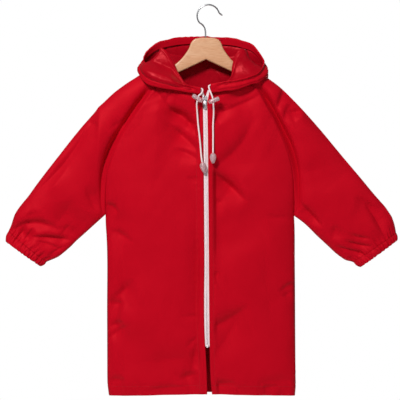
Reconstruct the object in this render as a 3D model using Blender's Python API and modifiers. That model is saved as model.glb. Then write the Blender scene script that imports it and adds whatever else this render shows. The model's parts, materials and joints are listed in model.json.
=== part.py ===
"""A child's hooded raglan rain jacket, hanging from a wooden hanger by the hanger's wire hook.

Metres, +Z up, front towards -Y.  "left" and "right" are as seen from the front.  Tables give
millimetres: x from the zip's line, z down from the inside of the hook's top.  An empty carries all
the pieces, and moves them so that the world's origin is the point the hook hangs from.
"""

import math

import bmesh
import bpy
import numpy as np
from mathutils import Matrix, Vector

MM = 0.001

# Driving dimensions
HOOK_TOP_X = 5.3 * MM  # the hook's top lies this far right of the zip's line
WALL = 1.2 * MM  # coated cloth, as thick as a sound wall allows
SEAM_GAP = 0.3 * MM
# How far each edge draws back, to leave the gap between two walls, and more where they meet at an
# angle: share of the way down the raglan seam or along the sleeve's upper fold, setback
SEAM_SETBACK = 0.45 * MM
RAGLAN_SETBACK = [(0, 0.5), (0.5, 0.65), (0.7, 0.8), (0.8, 1.0), (0.9, 1.4), (1, 2.0), (1.2, 0.6)]
UPPER_FOLD_SETBACK = [(0, 0.45), (0.2, 0.5), (0.4, 0.7), (0.6, 0.8), (1, 0.8)]
HEM_Z, HEM_CORNER_Z = -852.5, -857.5  # mm: the hem rises a little towards the opening
UNDERARM_ON_BODY = 0.44  # how far down the body's side edge the underarm lies
UNDERARM_ON_SLEEVE = 0.635  # how far along the sleeve the underarm lies
RAGLAN_ROWS = 10  # the body and the sleeves share their points along the raglan seams
NECK_BEND, SLEEVE_NECK_BEND = 0.12, 0.2  # how far down the panels bend over to the neck seam
SECTION_POWER = 0.8  # under 1, the body's section has fuller shoulders than an ellipse
CUFF_GATHERS = 18
CUFF_GATHER_DEPTH = 1.9 * MM
SLEEVE_GATHERS = 7
SLEEVE_GATHER_DEPTH = 2.6 * MM
TUNNEL_DEPTH = 15 * MM  # the hood's face edge turned in round its cord
CORD_DIAMETER = 3.6 * MM
CORD_SPACING = 2.6 * CORD_DIAMETER  # between the points of a cord's line
LOCK_LENGTH, LOCK_DIAMETER, LOCK_ROUNDING = 25 * MM, 9.6 * MM, 2.4 * MM
HOOK_WIRE = 3.4 * MM
HANGER_THICKNESS = 13 * MM
ZIP_TOP, ZIP_END = -188.0, -748.0  # mm
CHAIN_TOP, CHAIN_END = -206.4, ZIP_END + 4  # mm
TAPE_THICKNESS = 1.0 * MM
CHAIN_WIDTH, CHAIN_THICKNESS = 3.8 * MM, 2.2 * MM
STOP_WIDTH, STOP_DEPTH, STOP_HEIGHT = 3.6 * MM, 3.4 * MM, 6 * MM
SLIDER_TOP, SLIDER_HEIGHT, SLIDER_WIDTH = -200.4 * MM, 12.4 * MM, 8.2 * MM
FRONT_PLATE, REAR_PLATE = 1.6 * MM, 1.4 * MM  # the slider's two plates
POST_WIDTH, POST_INSET = 1.8 * MM, 0.5 * MM
BRIDGE_WIRE, BRIDGE_REACH, BRIDGE_HEIGHT, BRIDGE_FOOT = 0.6 * MM, 2.7 * MM, 3.8 * MM, 0.7 * MM
PULL_LENGTH, PULL_WIDTH, PULL_THICKNESS, PULL_BAR = 24 * MM, 6.0 * MM, 1.2 * MM, 0.6 * MM
PULL_HINGE_REACH = 1.5 * MM  # from the slider's face to the bar in its bridge
PULL_TAPER = 0.92
PULL_WINDOW_WIDTH, PULL_WINDOW_END = 3.4 * MM, 5.6 * MM

# How many columns and rows the panels' grids have
FRONT_COLUMNS, BACK_COLUMNS, HOOD_COLUMNS = 9, 18, 17
BODY_ROWS_BELOW_UNDERARM, SLEEVE_ROWS_BELOW_UNDERARM = 7, 8
HOOD_ROWS_A_SPAN, CUFF_ROWS = 3, 3
COLUMNS_A_GATHER = 4
TAPE_ROWS, CHAIN_ROWS = 18, 16

SIDES = {"left": -1, "right": 1}

# The neck seam, front to back, mirrored about the zip's top: across, y, z
NECK_MIDDLE = -1.75
NECK = [
    (8.4, -30.5, -196.5),
    (40, -31, -191),
    (70, -27, -180),
    (93, -20, -166),
    (101, -11.5, -150.5),
    (104, 0, -145.5),
    (98, 11, -143.5),
    (85, 16.5, -141.5),
    (50, 20.5, -138.5),
    (-NECK_MIDDLE, 22, -137.5),
]
FRONT_NECK_SHARE = 0.387  # the part of the neck seam on each front
BACK_NECK_SHARE = 0.640  # where the back's share starts
SHOULDER_NECK_SHARE = 0.525  # where the shoulder's fold starts

# Raglan seams from just under the neck to the underarm: x, y, z
RAGLAN_FRONT = {
    "left": [
        (-110.9, -21, -181.5),
        (-138.8, -20.5, -218),
        (-172.5, -18, -268.6),
        (-200.6, -14.5, -319),
        (-217.5, -9.5, -372),
        (-220.5, -4, -420),
        (-220.9, 0, -459.4),
    ],
    "right": [
        (108.5, -21, -184),
        (136.2, -20.5, -229.2),
        (158.6, -18, -274.1),
        (178.2, -14.5, -319),
        (190.3, -9.5, -369.6),
        (193.2, -4, -420),
        (193.5, 0, -462.2),
    ],
}
BACK_SEAM_RISE = 6  # the back raglan seam runs this much higher than the front one
BACK_SEAM_DEPTH = 0.78  # and stands this share as far from the middle

# The side edge below the underarm: x, z
SIDE_EDGE = {
    "left": [(-220.6, -478), (-218.8, -505), (-217.4, -680), (-216.9, HEM_CORNER_Z)],
    "right": [(194.4, -480), (195.2, -560), (196.2, -720), (197.0, HEM_CORNER_Z)],
}

# The front opening: z, middle x, half its width
OPENING = [
    (-196.5, -1.75, 8.4),
    (-204, -2.0, 6.8),
    (-213, -2.2, 4.8),
    (-224, -2.1, 4.6),
    (-290, -1.0, 4.6),
    (-400, 0, 4.6),
    (-540, 1.1, 4.6),
    (-742, 2.8, 4.6),
    (-764, 3.7, 4.3),
    (-812, 5.6, 4.0),
    (HEM_Z, 7.8, 5.2),
]

# How far the front and the back stand out along the middle: z, front, back
FULLNESS = [
    (-137, 30.5, 22),
    (-196.5, 30.5, 24),
    (-260, 33, 26),
    (-400, 34.5, 27),
    (-600, 33.5, 26),
    (HEM_Z, 31, 24),
]

# The shoulder and the sleeve's upper fold, and its lower fold past the underarm: x, z
UPPER_FOLD = {
    "left": [
        (-125, -147.5),
        (-142, -150),
        (-161, -160.7),
        (-197.5, -187.2),
        (-260.8, -252.8),
        (-324.6, -332),
        (-384.4, -411),
        (-419, -463.1),
        (-434.3, -498),
    ],
    "right": [
        (116, -150),
        (133, -158.3),
        (154, -172.9),
        (195.8, -212.3),
        (244, -265.1),
        (299, -331.1),
        (354.4, -397.1),
        (400, -455.5),
        (412, -477),
        (417.5, -501),
    ],
}
LOWER_FOLD = {
    "left": [(-246, -482), (-271.4, -505), (-311, -538.5), (-336, -557), (-352, -564)],
    "right": [(212, -475.5), (253, -514.5), (288.2, -543), (307, -558), (325.5, -564.5)],
}
# Half the sleeve's depth: how far along it, depth
SLEEVE_DEPTH = [(0, 0), (0.12, 3), (0.3, 6), (0.45, 13), (0.6, 19), (0.8, 21), (0.92, 20), (1, 19)]
# The cuff's free edge: upper end x, z, lower end x, z
CUFF_EDGE = {
    "left": (-439.5, -519.5, -364.5, -573),
    "right": (420.5, -516, 340.5, -574.5),
}

# The hood folded down, station by station along half the neck seam:
# share of the seam, crest x, y, z, low fold x, y, z, face edge x, y, z
HOOD = {
    "left": [
        (0.0, -12, -32, -186.5, -12.3, -38.2, -197.6, -11.2, -38.9, -182.6),
        (0.135, -44, -28.5, -175, -42, -40, -193, -38, -40, -178),
        (0.27, -62, -20, -147, -75, -41, -187.4, -64, -38.5, -172),
        (0.387, -74, -14, -126, -108, -38, -181, -95, -34, -160.6),
        (0.47, -89, -11.5, -101, -132, -29, -171, -118, -25, -147),
        (0.525, -98, -7, -91.5, -145, -12, -151.5, -131, -12, -130),
        (0.58, -98, 6, -95, -146, 8, -146.5, -137.5, 3, -117),
        (0.64, -90, 16, -101, -139, 27, -160, -131, 16, -100),
        (0.71, -74, 22, -106, -118, 40, -186, -108, 28, -79.5),
        (0.79, -52, 26, -110, -84, 47, -212, -79, 38, -70),
        (1.0, 0, 32, -114, 0, 52, -232, 0, 50, -62.8),
    ],
    "right": [
        (0.0, 9, -32, -181.5, 10, -38.2, -194.5, 8.8, -38.9, -175),
        (0.135, 45, -28.5, -168, 42, -40, -191, 43, -40, -169.6),
        (0.27, 57, -20, -150, 68, -41, -187, 68, -38.5, -166),
        (0.387, 61, -14, -130, 96, -38, -176.5, 95, -34, -158.5),
        (0.47, 69, -11.5, -105, 116, -29, -171, 114, -25, -149),
        (0.525, 80, -7, -95, 130, -12, -157.5, 122.5, -12, -138),
        (0.58, 86, 6, -98, 133, 8, -151.5, 127, 3, -123),
        (0.64, 82, 16, -102, 131, 27, -166, 121.4, 16, -108),
        (0.71, 70, 22, -107, 113, 40, -190, 104, 28, -84.5),
        (0.79, 50, 26, -111, 82, 47, -213, 78, 38, -72.8),
        (1.0, 0, 32, -114, 0, 52, -232, 0, 50, -62.8),
    ],
}

# The largest folds of the fronts, as troughs: start x, z, end x, z, width, depth
FRONT_FOLDS = {
    "left": [
        (-104, -205, -30, -290, 16, 2.4),
        (-96, -270, -20, -325, 15, 2.0),
        (-160, -420, -150, -700, 30, 2.2),
        (-70, -520, -62, -800, 26, 2.0),
    ],
    "right": [
        (92, -240, 22, -336, 16, 2.4),
        (16, -366, 120, -420, 18, 2.0),
        (135, -440, 140, -700, 30, 2.2),
        (66, -540, 70, -800, 26, 2.0),
    ],
}

# The hanger's half outline from the top of its neck to the notch below: x, z
HANGER_UPPER = [
    (0, -70.8),
    (15, -71.6),
    (26, -74.6),
    (32.5, -81.5),
    (37, -93),
    (46, -107.5),
    (57, -120.5),
    (70, -131.3),
    (90, -142.6),
    (120, -158),
    (139, -169),
]
HANGER_TIP = [(146, -174), (148.5, -179), (147, -184.5), (141.5, -186.3)]
HANGER_NOTCH = (0, -119.2)
HANGER_EDGE_RADIUS = 3.5 * MM

# The hook's wire, from the wood to its tip: x, z
HOOK_STEM = [(-1.1, -70.5), (-1.1, -58), (-3, -49), (-8.8, -41.5)]
HOOK_BOW_RADIUS = 24.6
HOOK_BOW_START, HOOK_BOW_TURN = 215.0, 197.0  # degrees
HOOK_TIP = [(36.2, -22)]

# The drawcord's free ends: from inside the tunnel to the lock, and from the lock to the bell
CORD_ABOVE_LOCK = {
    "left": [
        (-13.6, -38.2, -184.9),
        (-11.0, -38.3, -185.1),
        (-8.4, -39.2, -186.5),
        (-7.6, -42.4, -190.5),
        (-10.8, -46.4, -196.8),
    ],
    "right": [
        (11.4, -38.3, -177.7),
        (8.8, -38.4, -177.9),
        (6.5, -39.4, -179.4),
        (6.6, -43.2, -184.8),
        (9.9, -46.6, -194.0),
    ],
}
CORD_BELOW_LOCK = {
    "left": [
        (-20.2, -44.8, -221),
        (-19.4, -40.0, -234),
        (-18.5, -37.8, -248),
        (-16.9, -37.8, -266),
        (-14.3, -38.2, -288.4),
        (-12.0, -38.8, -312),
        (-10.4, -40.6, -332),
        (-8.4, -42.2, -346.2),
    ],
    "right": [
        (16.4, -44.8, -226),
        (16.6, -40.0, -238),
        (16.0, -37.8, -251),
        (15.3, -37.9, -265),
        (15.4, -38.4, -286),
        (15.3, -40.2, -308),
        (15.2, -42.0, -326.0),
    ],
}
LOCK_CENTRE = {"left": (-18.7, -47.6, -207.0), "right": (17.2, -47.6, -211.4)}
LOCK_TILT = {"left": 32.0, "right": -22.0}  # degrees
CORD_ALONG_LOCK = {"left": 1.3, "right": -2.4}  # mm: the hole's place, to the right of the middle
CORD_LEAN = {"left": 16.0, "right": -7.0}  # degrees: the cord leans in the hole
LOCK_HOLE_CLEARANCE = 0.6 * MM
BELL_TOP = {"left": (-8.3, -42.6, -346.5), "right": (15.2, -42.4, -326.3)}
BELL_TILT = {"left": -12.0, "right": 0.0}  # degrees


def smooth(t, knots, values):
    """Values at t on a smooth curve through the rows of values at the knots."""
    knots = np.asarray(knots, float)
    values = np.asarray(values, float)
    t = np.clip(t, knots[0], knots[-1])
    slopes = np.gradient(values, knots, axis=0)
    i = np.clip(np.searchsorted(knots, t, side="right") - 1, 0, len(knots) - 2)
    span = knots[i + 1] - knots[i]
    s = (t - knots[i]) / span
    if values.ndim > 1:
        s, span = s[..., None], span[..., None]
    start, end = values[i], values[i + 1]
    rise = end - start
    lead, tail = slopes[i] * span - rise, rise - slopes[i + 1] * span
    return start + s * rise + s * (1 - s) * ((1 - s) * lead + s * tail)


def along(rows, t):
    """Points in metres at the shares t of the length of a smooth line through rows in mm."""
    rows = np.asarray(rows, float) * MM
    length = np.concatenate([[0], np.cumsum(np.linalg.norm(np.diff(rows, axis=0), axis=1))])
    return smooth(t, length / length[-1], rows)


def column(table, t, index):
    """One column of a table, in metres, smooth in its first column."""
    table = np.asarray(table, float)
    order = np.argsort(table[:, 0])
    return smooth(t, table[order, 0], table[order, index] * MM)


def ease(t, start, end):
    """0 up to start and 1 from end, with a soft change between them."""
    s = np.clip((t - start) / (end - start), 0, 1)
    return s * s * (3 - 2 * s)


def joined(first, second, t, place):
    """The line first up to the share place, then the line second."""
    early = first(np.clip(t / place, 0, 1))
    late = second(np.clip((t - place) / (1 - place), 0, 1))
    return np.where((t < place)[..., None], early, late)


def standing(rows):
    """Rows of x, z as rows of x, 0, z."""
    return [(x, 0, z) for x, z in rows]


def neck_seam(side, share):
    sign = SIDES[side]
    rows = [(NECK_MIDDLE + sign * across, y, z) for across, y, z in NECK]
    return along(rows, share)


def raglan_seam(side, face, t):
    """The front or back raglan seam, from the neck seam at 0 to the underarm at 1."""
    rows = RAGLAN_FRONT[side]
    share = FRONT_NECK_SHARE
    if face == "back":
        share = BACK_NECK_SHARE
        lifts = [1 - i / (len(rows) - 1) for i in range(len(rows))]
        rows = [
            (x, -BACK_SEAM_DEPTH * y, z + BACK_SEAM_RISE * lift)
            for (x, y, z), lift in zip(rows, lifts)
        ]
    start = neck_seam(side, np.array([share]))[0] / MM
    return along([tuple(start), *rows], t)


def body_edge(side, face, v):
    """A body panel's outer edge: its raglan seam, then its side seam."""
    underarm = RAGLAN_FRONT[side][-1]
    side_rows = [underarm, *standing(SIDE_EDGE[side])]
    return joined(
        lambda t: raglan_seam(side, face, t),
        lambda t: along(side_rows, t),
        v,
        UNDERARM_ON_BODY,
    )


def sleeve_edge(side, face, v):
    """A sleeve's inner edge: its raglan seam, then the fold under the arm."""
    underarm = RAGLAN_FRONT[side][-1]
    fold_rows = [underarm, *standing(LOWER_FOLD[side])]
    return joined(
        lambda t: raglan_seam(side, face, t),
        lambda t: along(fold_rows, t),
        v,
        UNDERARM_ON_SLEEVE,
    )


def folds(rows, x, z):
    """How deep soft troughs are at x, z: each has a start, an end, a width and a depth."""
    depth = np.zeros_like(x)
    for x0, z0, x1, z1, width, deep in rows:
        run = np.array([x1 - x0, z1 - z0]) * MM
        reach = np.hypot(*run)
        dx, dz = x - x0 * MM, z - z0 * MM
        forward = (dx * run[0] + dz * run[1]) / reach**2
        aside = (dx * run[1] - dz * run[0]) / reach / (width * MM)
        fade = ease(forward, -0.25, 0.25) * (1 - ease(forward, 0.75, 1.25))
        depth += deep * MM * fade * np.exp(-aside * aside)
    return depth


def edge_power(v):
    """How the body's section meets its edge: 1 is an ellipse's end, less is squarer and more is
    flatter.  It meets the raglan seams softly and turns round at the side seams."""
    return 1.9 - 0.75 * ease(v, 0.15, UNDERARM_ON_BODY) - 0.35 * ease(v, UNDERARM_ON_BODY, 0.6)


def to_neck(form, seam, u, v, reach):
    """The surface form(u, v), bent over its first rows to start on its stretch of the neck seam."""
    fade = (1 - ease(v, 0, reach))[..., None]
    return form(u, v) + (seam - form(u, np.zeros_like(v))) * fade


def front_form(side, u, v):
    angle = u * math.pi / 2
    share, lift = np.sin(angle) ** SECTION_POWER, np.abs(np.cos(angle)) ** edge_power(v)
    outer = body_edge(side, "front", v)
    z = (OPENING[0][0] + (HEM_Z - OPENING[0][0]) * v) * MM
    middle, half = column(OPENING, z / MM, 1), column(OPENING, z / MM, 2)
    inner = np.stack([middle + SIDES[side] * half, 0 * z, z], axis=-1)
    points = inner + (outer - inner) * share[..., None]
    points[..., 1] = outer[..., 1] * (1 - lift) - column(FULLNESS, z / MM, 1) * lift
    return points


def front_panel(side, u, v):
    """A front, from the opening at u = 0 to its outer edge, and from the neck to the hem."""
    seam = neck_seam(side, u * FRONT_NECK_SHARE)
    points = to_neck(lambda u, v: front_form(side, u, v), seam, u, v, NECK_BEND)
    depth = folds(FRONT_FOLDS[side], points[..., 0], points[..., 2])
    points[..., 1] += away_from_edges(u, v) * depth
    return points


def away_from_edges(u, v):
    """1 in the middle of a front and 0 at its zip, its outer edge and its neck, where it lies flat
    on what it is sewn to."""
    return ease(u, 0, 0.12) * (1 - ease(u, 0.86, 1)) * ease(v, 0.02, 0.1)


def back_form(u, v):
    angle = (u - 0.5) * math.pi
    across = np.sign(angle) * np.abs(np.sin(angle)) ** SECTION_POWER
    share, lift = 0.5 + 0.5 * across, np.abs(np.cos(angle)) ** edge_power(v)
    left, right = body_edge("left", "back", v), body_edge("right", "back", v)
    points = left + (right - left) * share[..., None]
    points[..., 1] += (column(FULLNESS, points[..., 2] / MM, 2) - points[..., 1]) * lift
    points[..., 2] += (HEM_Z - HEM_CORNER_Z) * MM * lift * ease(v, 0.6, 1)
    return points


def back_panel(u, v):
    """The back, from the left edge at u = 0 to the right, and from the neck to the hem."""
    half = np.abs(2 * u - 1) * (1 - BACK_NECK_SHARE)
    seam = np.where((u < 0.5)[..., None], neck_seam("left", 1 - half), neck_seam("right", 1 - half))
    return to_neck(back_form, seam, u, v, NECK_BEND)


def sleeve_form(side, u, v):
    """The sleeve's tube: its columns crowd at the folds, and not at the raglan seams."""
    front = u <= 0.5
    half_turn = np.where(front, u, 1 - u) * 2
    closed = ease(v, UNDERARM_ON_SLEEVE - 0.25, UNDERARM_ON_SLEEVE + 0.02)
    open_share = np.sin(half_turn * math.pi / 2)
    closed_share = (1 - np.cos(half_turn * math.pi)) / 2
    share = open_share + (closed_share - open_share) * closed
    edge = np.where(front[..., None], sleeve_edge(side, "front", v), sleeve_edge(side, "back", v))
    top = neck_seam(side, np.array([SHOULDER_NECK_SHARE]))[0] / MM
    fold = along([tuple(top), *standing(UPPER_FOLD[side])], v)
    points = edge + (fold - edge) * share[..., None]
    points[..., 1] = edge[..., 1] * np.sqrt(np.clip(1 - share**2, 0, 1))
    swell = (4 * share * (1 - share)).clip(0, 1) ** (1 - 0.55 * closed)
    points[..., 1] += np.where(front, -1, 1) * column(SLEEVE_DEPTH, v, 1) * swell
    return points


def sleeve(side, u, v):
    """A sleeve's front and back: u goes from the front inner edge, over the upper fold at 0.5 where
    the two are sewn together, to the back inner edge."""
    front = u <= 0.5
    share = np.sin(np.where(front, u, 1 - u) * math.pi)
    start = np.where(front, FRONT_NECK_SHARE, BACK_NECK_SHARE)
    seam = neck_seam(side, start + (SHOULDER_NECK_SHARE - start) * share)
    points = to_neck(lambda u, v: sleeve_form(side, u, v), seam, u, v, SLEEVE_NECK_BEND)
    gather = 0.5 + 0.5 * np.cos(2 * math.pi * SLEEVE_GATHERS * u)
    inward = SLEEVE_GATHER_DEPTH * gather * ease(v, 0.82, 0.98) * np.sin(2 * math.pi * u) ** 2
    points[..., 1] += np.where(front, 1, -1) * inward
    return points


def cuff(side, u, v):
    """A cuff's casing from the sleeve's end to its free edge, gathered all round."""
    start = sleeve(side, u, np.ones_like(u))
    upper_x, upper_z, lower_x, lower_z = (size * MM for size in CUFF_EDGE[side])
    turn = 2 * math.pi * u
    share = (1 - np.cos(turn)) / 2
    depth = SLEEVE_DEPTH[-1][1] * MM * np.abs(np.sin(turn)) ** 0.8
    outward = np.where(u <= 0.5, -1.0, 1.0)
    end = np.stack(
        [
            lower_x + (upper_x - lower_x) * share,
            outward * depth,
            lower_z + (upper_z - lower_z) * share,
        ],
        axis=-1,
    )
    ring = start + (end - start) * v[..., None]
    wave = np.cos(2 * math.pi * CUFF_GATHERS * u)
    middle = ring_centre(side, v)
    away = ring - middle
    away /= np.linalg.norm(away, axis=-1, keepdims=True)
    height = CUFF_GATHER_DEPTH * wave * (0.35 + 0.65 * ease(v, 0, 0.5))
    return ring + away * height[..., None]


def ring_centre(side, v):
    """The middle of the cuff's section at v."""
    upper_x, upper_z, lower_x, lower_z = (size * MM for size in CUFF_EDGE[side])
    end = np.array([(upper_x + lower_x) / 2, 0, (upper_z + lower_z) / 2])
    fold_x, fold_z = UPPER_FOLD[side][-1]
    under_x, under_z = LOWER_FOLD[side][-1]
    start = np.array([(fold_x + under_x) / 2, 0, (fold_z + under_z) / 2]) * MM
    return start + (end - start) * v[..., None]


HOOD_SPANS = 7  # stand, crest, inner layer, low fold, outer layer, face edge, turned-in edge
# How far each span's handles reach, as a share of its length: 0.667 turns it half round
HOOD_GRIPS = (0.35, 0.667, 0.35, 0.667, 0.35, 0.667, 0.3)
# The width of each fold at the hood's front, and what it gains towards the back
CREST_GAP, CREST_GAP_GAIN = 3 * MM, 5 * MM
LOW_GAP, LOW_GAP_GAIN, LOW_GAP_GAIN_BEHIND = 6 * MM, 3 * MM, 7 * MM
FACE_GAP, FACE_GAP_LOSS = 6.8 * MM, 3.4 * MM
TURNED_IN = 1.3 * (WALL + SEAM_GAP)  # from the outer layer to the turned-in edge
UP = np.array([0.0, 0.0, 1.0])


def hood(side, u, v):
    """Half the hood: u from the front to the centre-back seam, v from the neck seam over the
    crest, down to the low fold and up to the face edge with its cord tunnel."""
    table = np.asarray(HOOD[side], float)
    rows = smooth(u, table[:, 0], table[:, 1:] * MM)
    crest, low, edge = rows[..., 0:3], rows[..., 3:6], rows[..., 6:9]
    neck = neck_seam(side, u)
    out = (low - crest) * np.array([1.0, 1.0, 0.0])
    out /= np.linalg.norm(out, axis=-1, keepdims=True)
    grow = ease(u, 0, 0.4)[..., None]
    crest_gap = CREST_GAP + CREST_GAP_GAIN * grow
    low_gap = LOW_GAP + LOW_GAP_GAIN * grow + LOW_GAP_GAIN_BEHIND * ease(u, 0.6, 1)[..., None]
    edge_gap = FACE_GAP - FACE_GAP_LOSS * ease(u, 0.02, 0.15)[..., None]
    rise = edge - low
    rise /= np.linalg.norm(rise, axis=-1, keepdims=True)
    inner = -(out - rise * (out * rise).sum(axis=-1, keepdims=True))
    inner /= np.linalg.norm(inner, axis=-1, keepdims=True)
    crest_in = crest - out * crest_gap / 2 - UP * crest_gap / 2
    crest_out = crest + out * crest_gap / 2 - UP * crest_gap / 2
    low_in = low - out * low_gap / 2 + UP * low_gap / 2
    low_out = low + out * low_gap / 2 + UP * low_gap / 2
    edge_out = edge - inner * edge_gap / 2 - rise * edge_gap / 2
    edge_in = edge + inner * edge_gap / 2 - rise * edge_gap / 2
    turned = edge_out - rise * TUNNEL_DEPTH * (0.55 + 0.45 * grow) + inner * TURNED_IN
    joints = [neck, crest_in, crest_out, low_in, low_out, edge_out, edge_in, turned]
    starts = [UP, UP, -UP, -UP, UP, rise, -rise]
    ends = [UP, -UP, -UP, UP, rise, -rise, -rise]
    place = np.clip(v * HOOD_SPANS, 0, HOOD_SPANS - 1e-9)
    points = np.zeros(u.shape + (3,))
    for span in range(HOOD_SPANS):
        here = (np.floor(place) == span)[..., None]
        s = (place - span)[..., None]
        p0, p3 = joints[span], joints[span + 1]
        grip = HOOD_GRIPS[span] * np.linalg.norm(p3 - p0, axis=-1, keepdims=True)
        p1, p2 = p0 + starts[span] * grip, p3 - ends[span] * grip
        bezier = (
            (1 - s) ** 3 * p0
            + 3 * (1 - s) ** 2 * s * p1
            + 3 * (1 - s) * s**2 * p2
            + s**3 * p3
        )
        points = np.where(here, bezier, points)
    return points


def opening_line(z):
    """The front opening's middle x, and the front's y there, at heights z."""
    return column(OPENING, z / MM, 1), -column(FULLNESS, z / MM, 1)


# Splay of each tape's inner edge from the zip's middle: z, distance
TAPE_SPLAY = [(ZIP_TOP, 7.4), (-193, 5.0), (-200, 2.6), (-208, 2.4), (ZIP_END, 2.4)]
TAPE_INNER, TAPE_OUTER = 2.4 * MM, 14 * MM
TAPE_BEHIND = (WALL + TAPE_THICKNESS) / 2 + SEAM_GAP
TAPE_CURVE = 0.9 * MM  # a tape follows the front's round as it goes outwards


def zip_tape(side, u, v):
    z = (ZIP_TOP + (ZIP_END - ZIP_TOP) * v) * MM
    middle, front = opening_line(z)
    near = np.maximum(column(TAPE_SPLAY, z / MM, 1), TAPE_INNER)
    far = TAPE_OUTER + near / 3
    x = middle + SIDES[side] * (near + (far - near) * u)
    return np.stack([x, front + TAPE_BEHIND + TAPE_CURVE * u**2, z], axis=-1)


def zip_chain(u, v):
    z = (CHAIN_TOP + (CHAIN_END - CHAIN_TOP) * v) * MM
    middle, front = opening_line(z)
    return np.stack([middle + CHAIN_WIDTH * (u - 0.5), front + TAPE_BEHIND, z], axis=-1)


def material(name, colour, roughness, metallic=0.0, alpha=1.0):
    made = bpy.data.materials.new(name)
    made.use_nodes = True
    shader = made.node_tree.nodes["Principled BSDF"]
    shader.inputs["Base Color"].default_value = (*colour, 1)
    shader.inputs["Roughness"].default_value = roughness
    shader.inputs["Metallic"].default_value = metallic
    shader.inputs["Alpha"].default_value = alpha
    return made


def new_object(name, data, finish, place=(0, 0, 0)):
    """An object in the jacket's collection, carried by its empty."""
    made = bpy.data.objects.new(name, data)
    made.location = place
    made.parent = CARRIER
    if finish:
        data.materials.append(finish)
    COLLECTION.objects.link(made)
    return made


def plain_seam(v):
    return np.full_like(v, SEAM_SETBACK)


def raglan_on_body(v):
    return column(RAGLAN_SETBACK, v / UNDERARM_ON_BODY, 1)


def raglan_on_sleeve(v):
    return column(RAGLAN_SETBACK, v / UNDERARM_ON_SLEEVE, 1)


def upper_fold_seam(v):
    return column(UPPER_FOLD_SETBACK, v, 1)


def cloth(name, surface, across, down, finish, seams=None, flip=False, wall=WALL, tube=False):
    """A panel with a wall: a grid whose columns lie at the values across of u and whose rows at
    the values down of v, mapped by surface(u, v).  Its edges are start and end (the first and last
    column), and top and foot (the first and last row).  seams gives each sewn edge the function
    of v by which it draws back from its seam.  A tube's start and end are welded."""
    bm = bmesh.new()
    columns, rows = len(across) - 1, len(down) - 1
    bmesh.ops.create_grid(bm, x_segments=columns, y_segments=rows, size=0.5)
    column_of = np.array([round((vert.co.x + 0.5) * columns) for vert in bm.verts])
    row_of = np.array([round((vert.co.y + 0.5) * rows) for vert in bm.verts])
    u, v = np.asarray(across)[column_of], np.asarray(down)[row_of]
    points = surface(u, v)
    for edge, here, beside_u, beside_v in (
        ("start", column_of == 0, across[1], None),
        ("end", column_of == columns, across[-2], None),
        ("top", row_of == 0, None, down[1]),
        ("foot", row_of == rows, None, down[-2]),
    ):
        if edge not in (seams or {}):
            continue
        next_u = u[here] if beside_u is None else np.full(here.sum(), beside_u)
        next_v = v[here] if beside_v is None else np.full(here.sum(), beside_v)
        inward = surface(next_u, next_v) - surface(u[here], v[here])
        inward /= np.maximum(np.linalg.norm(inward, axis=-1, keepdims=True), 1e-9)
        points[here] += inward * seams[edge](v[here])[:, None]
    for vert, point in zip(bm.verts, points):
        vert.co = Vector(point)
    if tube:
        rim = [vert for vert, at in zip(bm.verts, (u <= 0) | (u >= 1)) if at]
        bmesh.ops.remove_doubles(bm, verts=rim, dist=0.02 * MM)
    if flip:
        bmesh.ops.reverse_faces(bm, faces=bm.faces)
    mesh = bpy.data.meshes.new(name)
    bm.to_mesh(mesh)
    bm.free()
    mesh.shade_smooth()
    made = new_object(name, mesh, finish)
    solidify = made.modifiers.new("wall", "SOLIDIFY")
    solidify.thickness = wall
    solidify.offset = 0
    solidify.use_even_offset = True
    return made


def poly_curve(name, points, radius, resolution, finish):
    """A round wire or cord along points, with filled ends."""
    curve = bpy.data.curves.new(name, "CURVE")
    curve.dimensions = "3D"
    curve.bevel_depth = radius
    curve.bevel_resolution = resolution
    curve.use_fill_caps = True
    spline = curve.splines.new("POLY")
    spline.points.add(len(points) - 1)
    for spot, point in zip(spline.points, points):
        spot.co = (*point, 1)
    return new_object(name, curve, finish)


def outline_curve(name, loops, half_thickness, finish, edge_radius=0.0, place=(0, 0, 0)):
    """A plate that stands in the XZ plane, from closed loops of x, z in metres."""
    curve = bpy.data.curves.new(name, "CURVE")
    curve.dimensions = "2D"
    curve.fill_mode = "BOTH"
    curve.extrude = half_thickness - edge_radius
    curve.bevel_depth = edge_radius
    curve.bevel_resolution = 1
    curve.offset = -edge_radius
    for loop in loops:
        spline = curve.splines.new("POLY")
        spline.points.add(len(loop) - 1)
        for spot, (x, z) in zip(spline.points, loop):
            spot.co = (x, z, 0, 1)
        spline.use_cyclic_u = True
    made = new_object(name, curve, finish, place)
    made.rotation_euler = (math.radians(90), 0, 0)
    return made


def bevelled_box(bm, low, high, bevel):
    """A box between two corners, with its edges rounded."""
    made = bmesh.ops.create_cube(bm, size=1)["verts"]
    size = Vector(high) - Vector(low)
    bmesh.ops.scale(bm, verts=made, vec=size)
    bmesh.ops.translate(bm, verts=made, vec=(Vector(high) + Vector(low)) / 2)
    edges = {edge for vert in made for edge in vert.link_edges}
    bmesh.ops.bevel(
        bm, geom=list(edges), offset=bevel, segments=1, profile=0.5, affect="EDGES", material=-1
    )


def box_object(name, low, high, bevel, finish):
    bm = bmesh.new()
    bevelled_box(bm, low, high, bevel)
    mesh = bpy.data.meshes.new(name)
    bm.to_mesh(mesh)
    bm.free()
    return new_object(name, mesh, finish)


def as_helper(made):
    """Keeps a cutter or a part of a union out of the jacket, in the helpers' collection."""
    COLLECTION.objects.unlink(made)
    HELPERS.objects.link(made)
    made.hide_render = True
    made.display_type = "WIRE"
    return made


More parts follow.
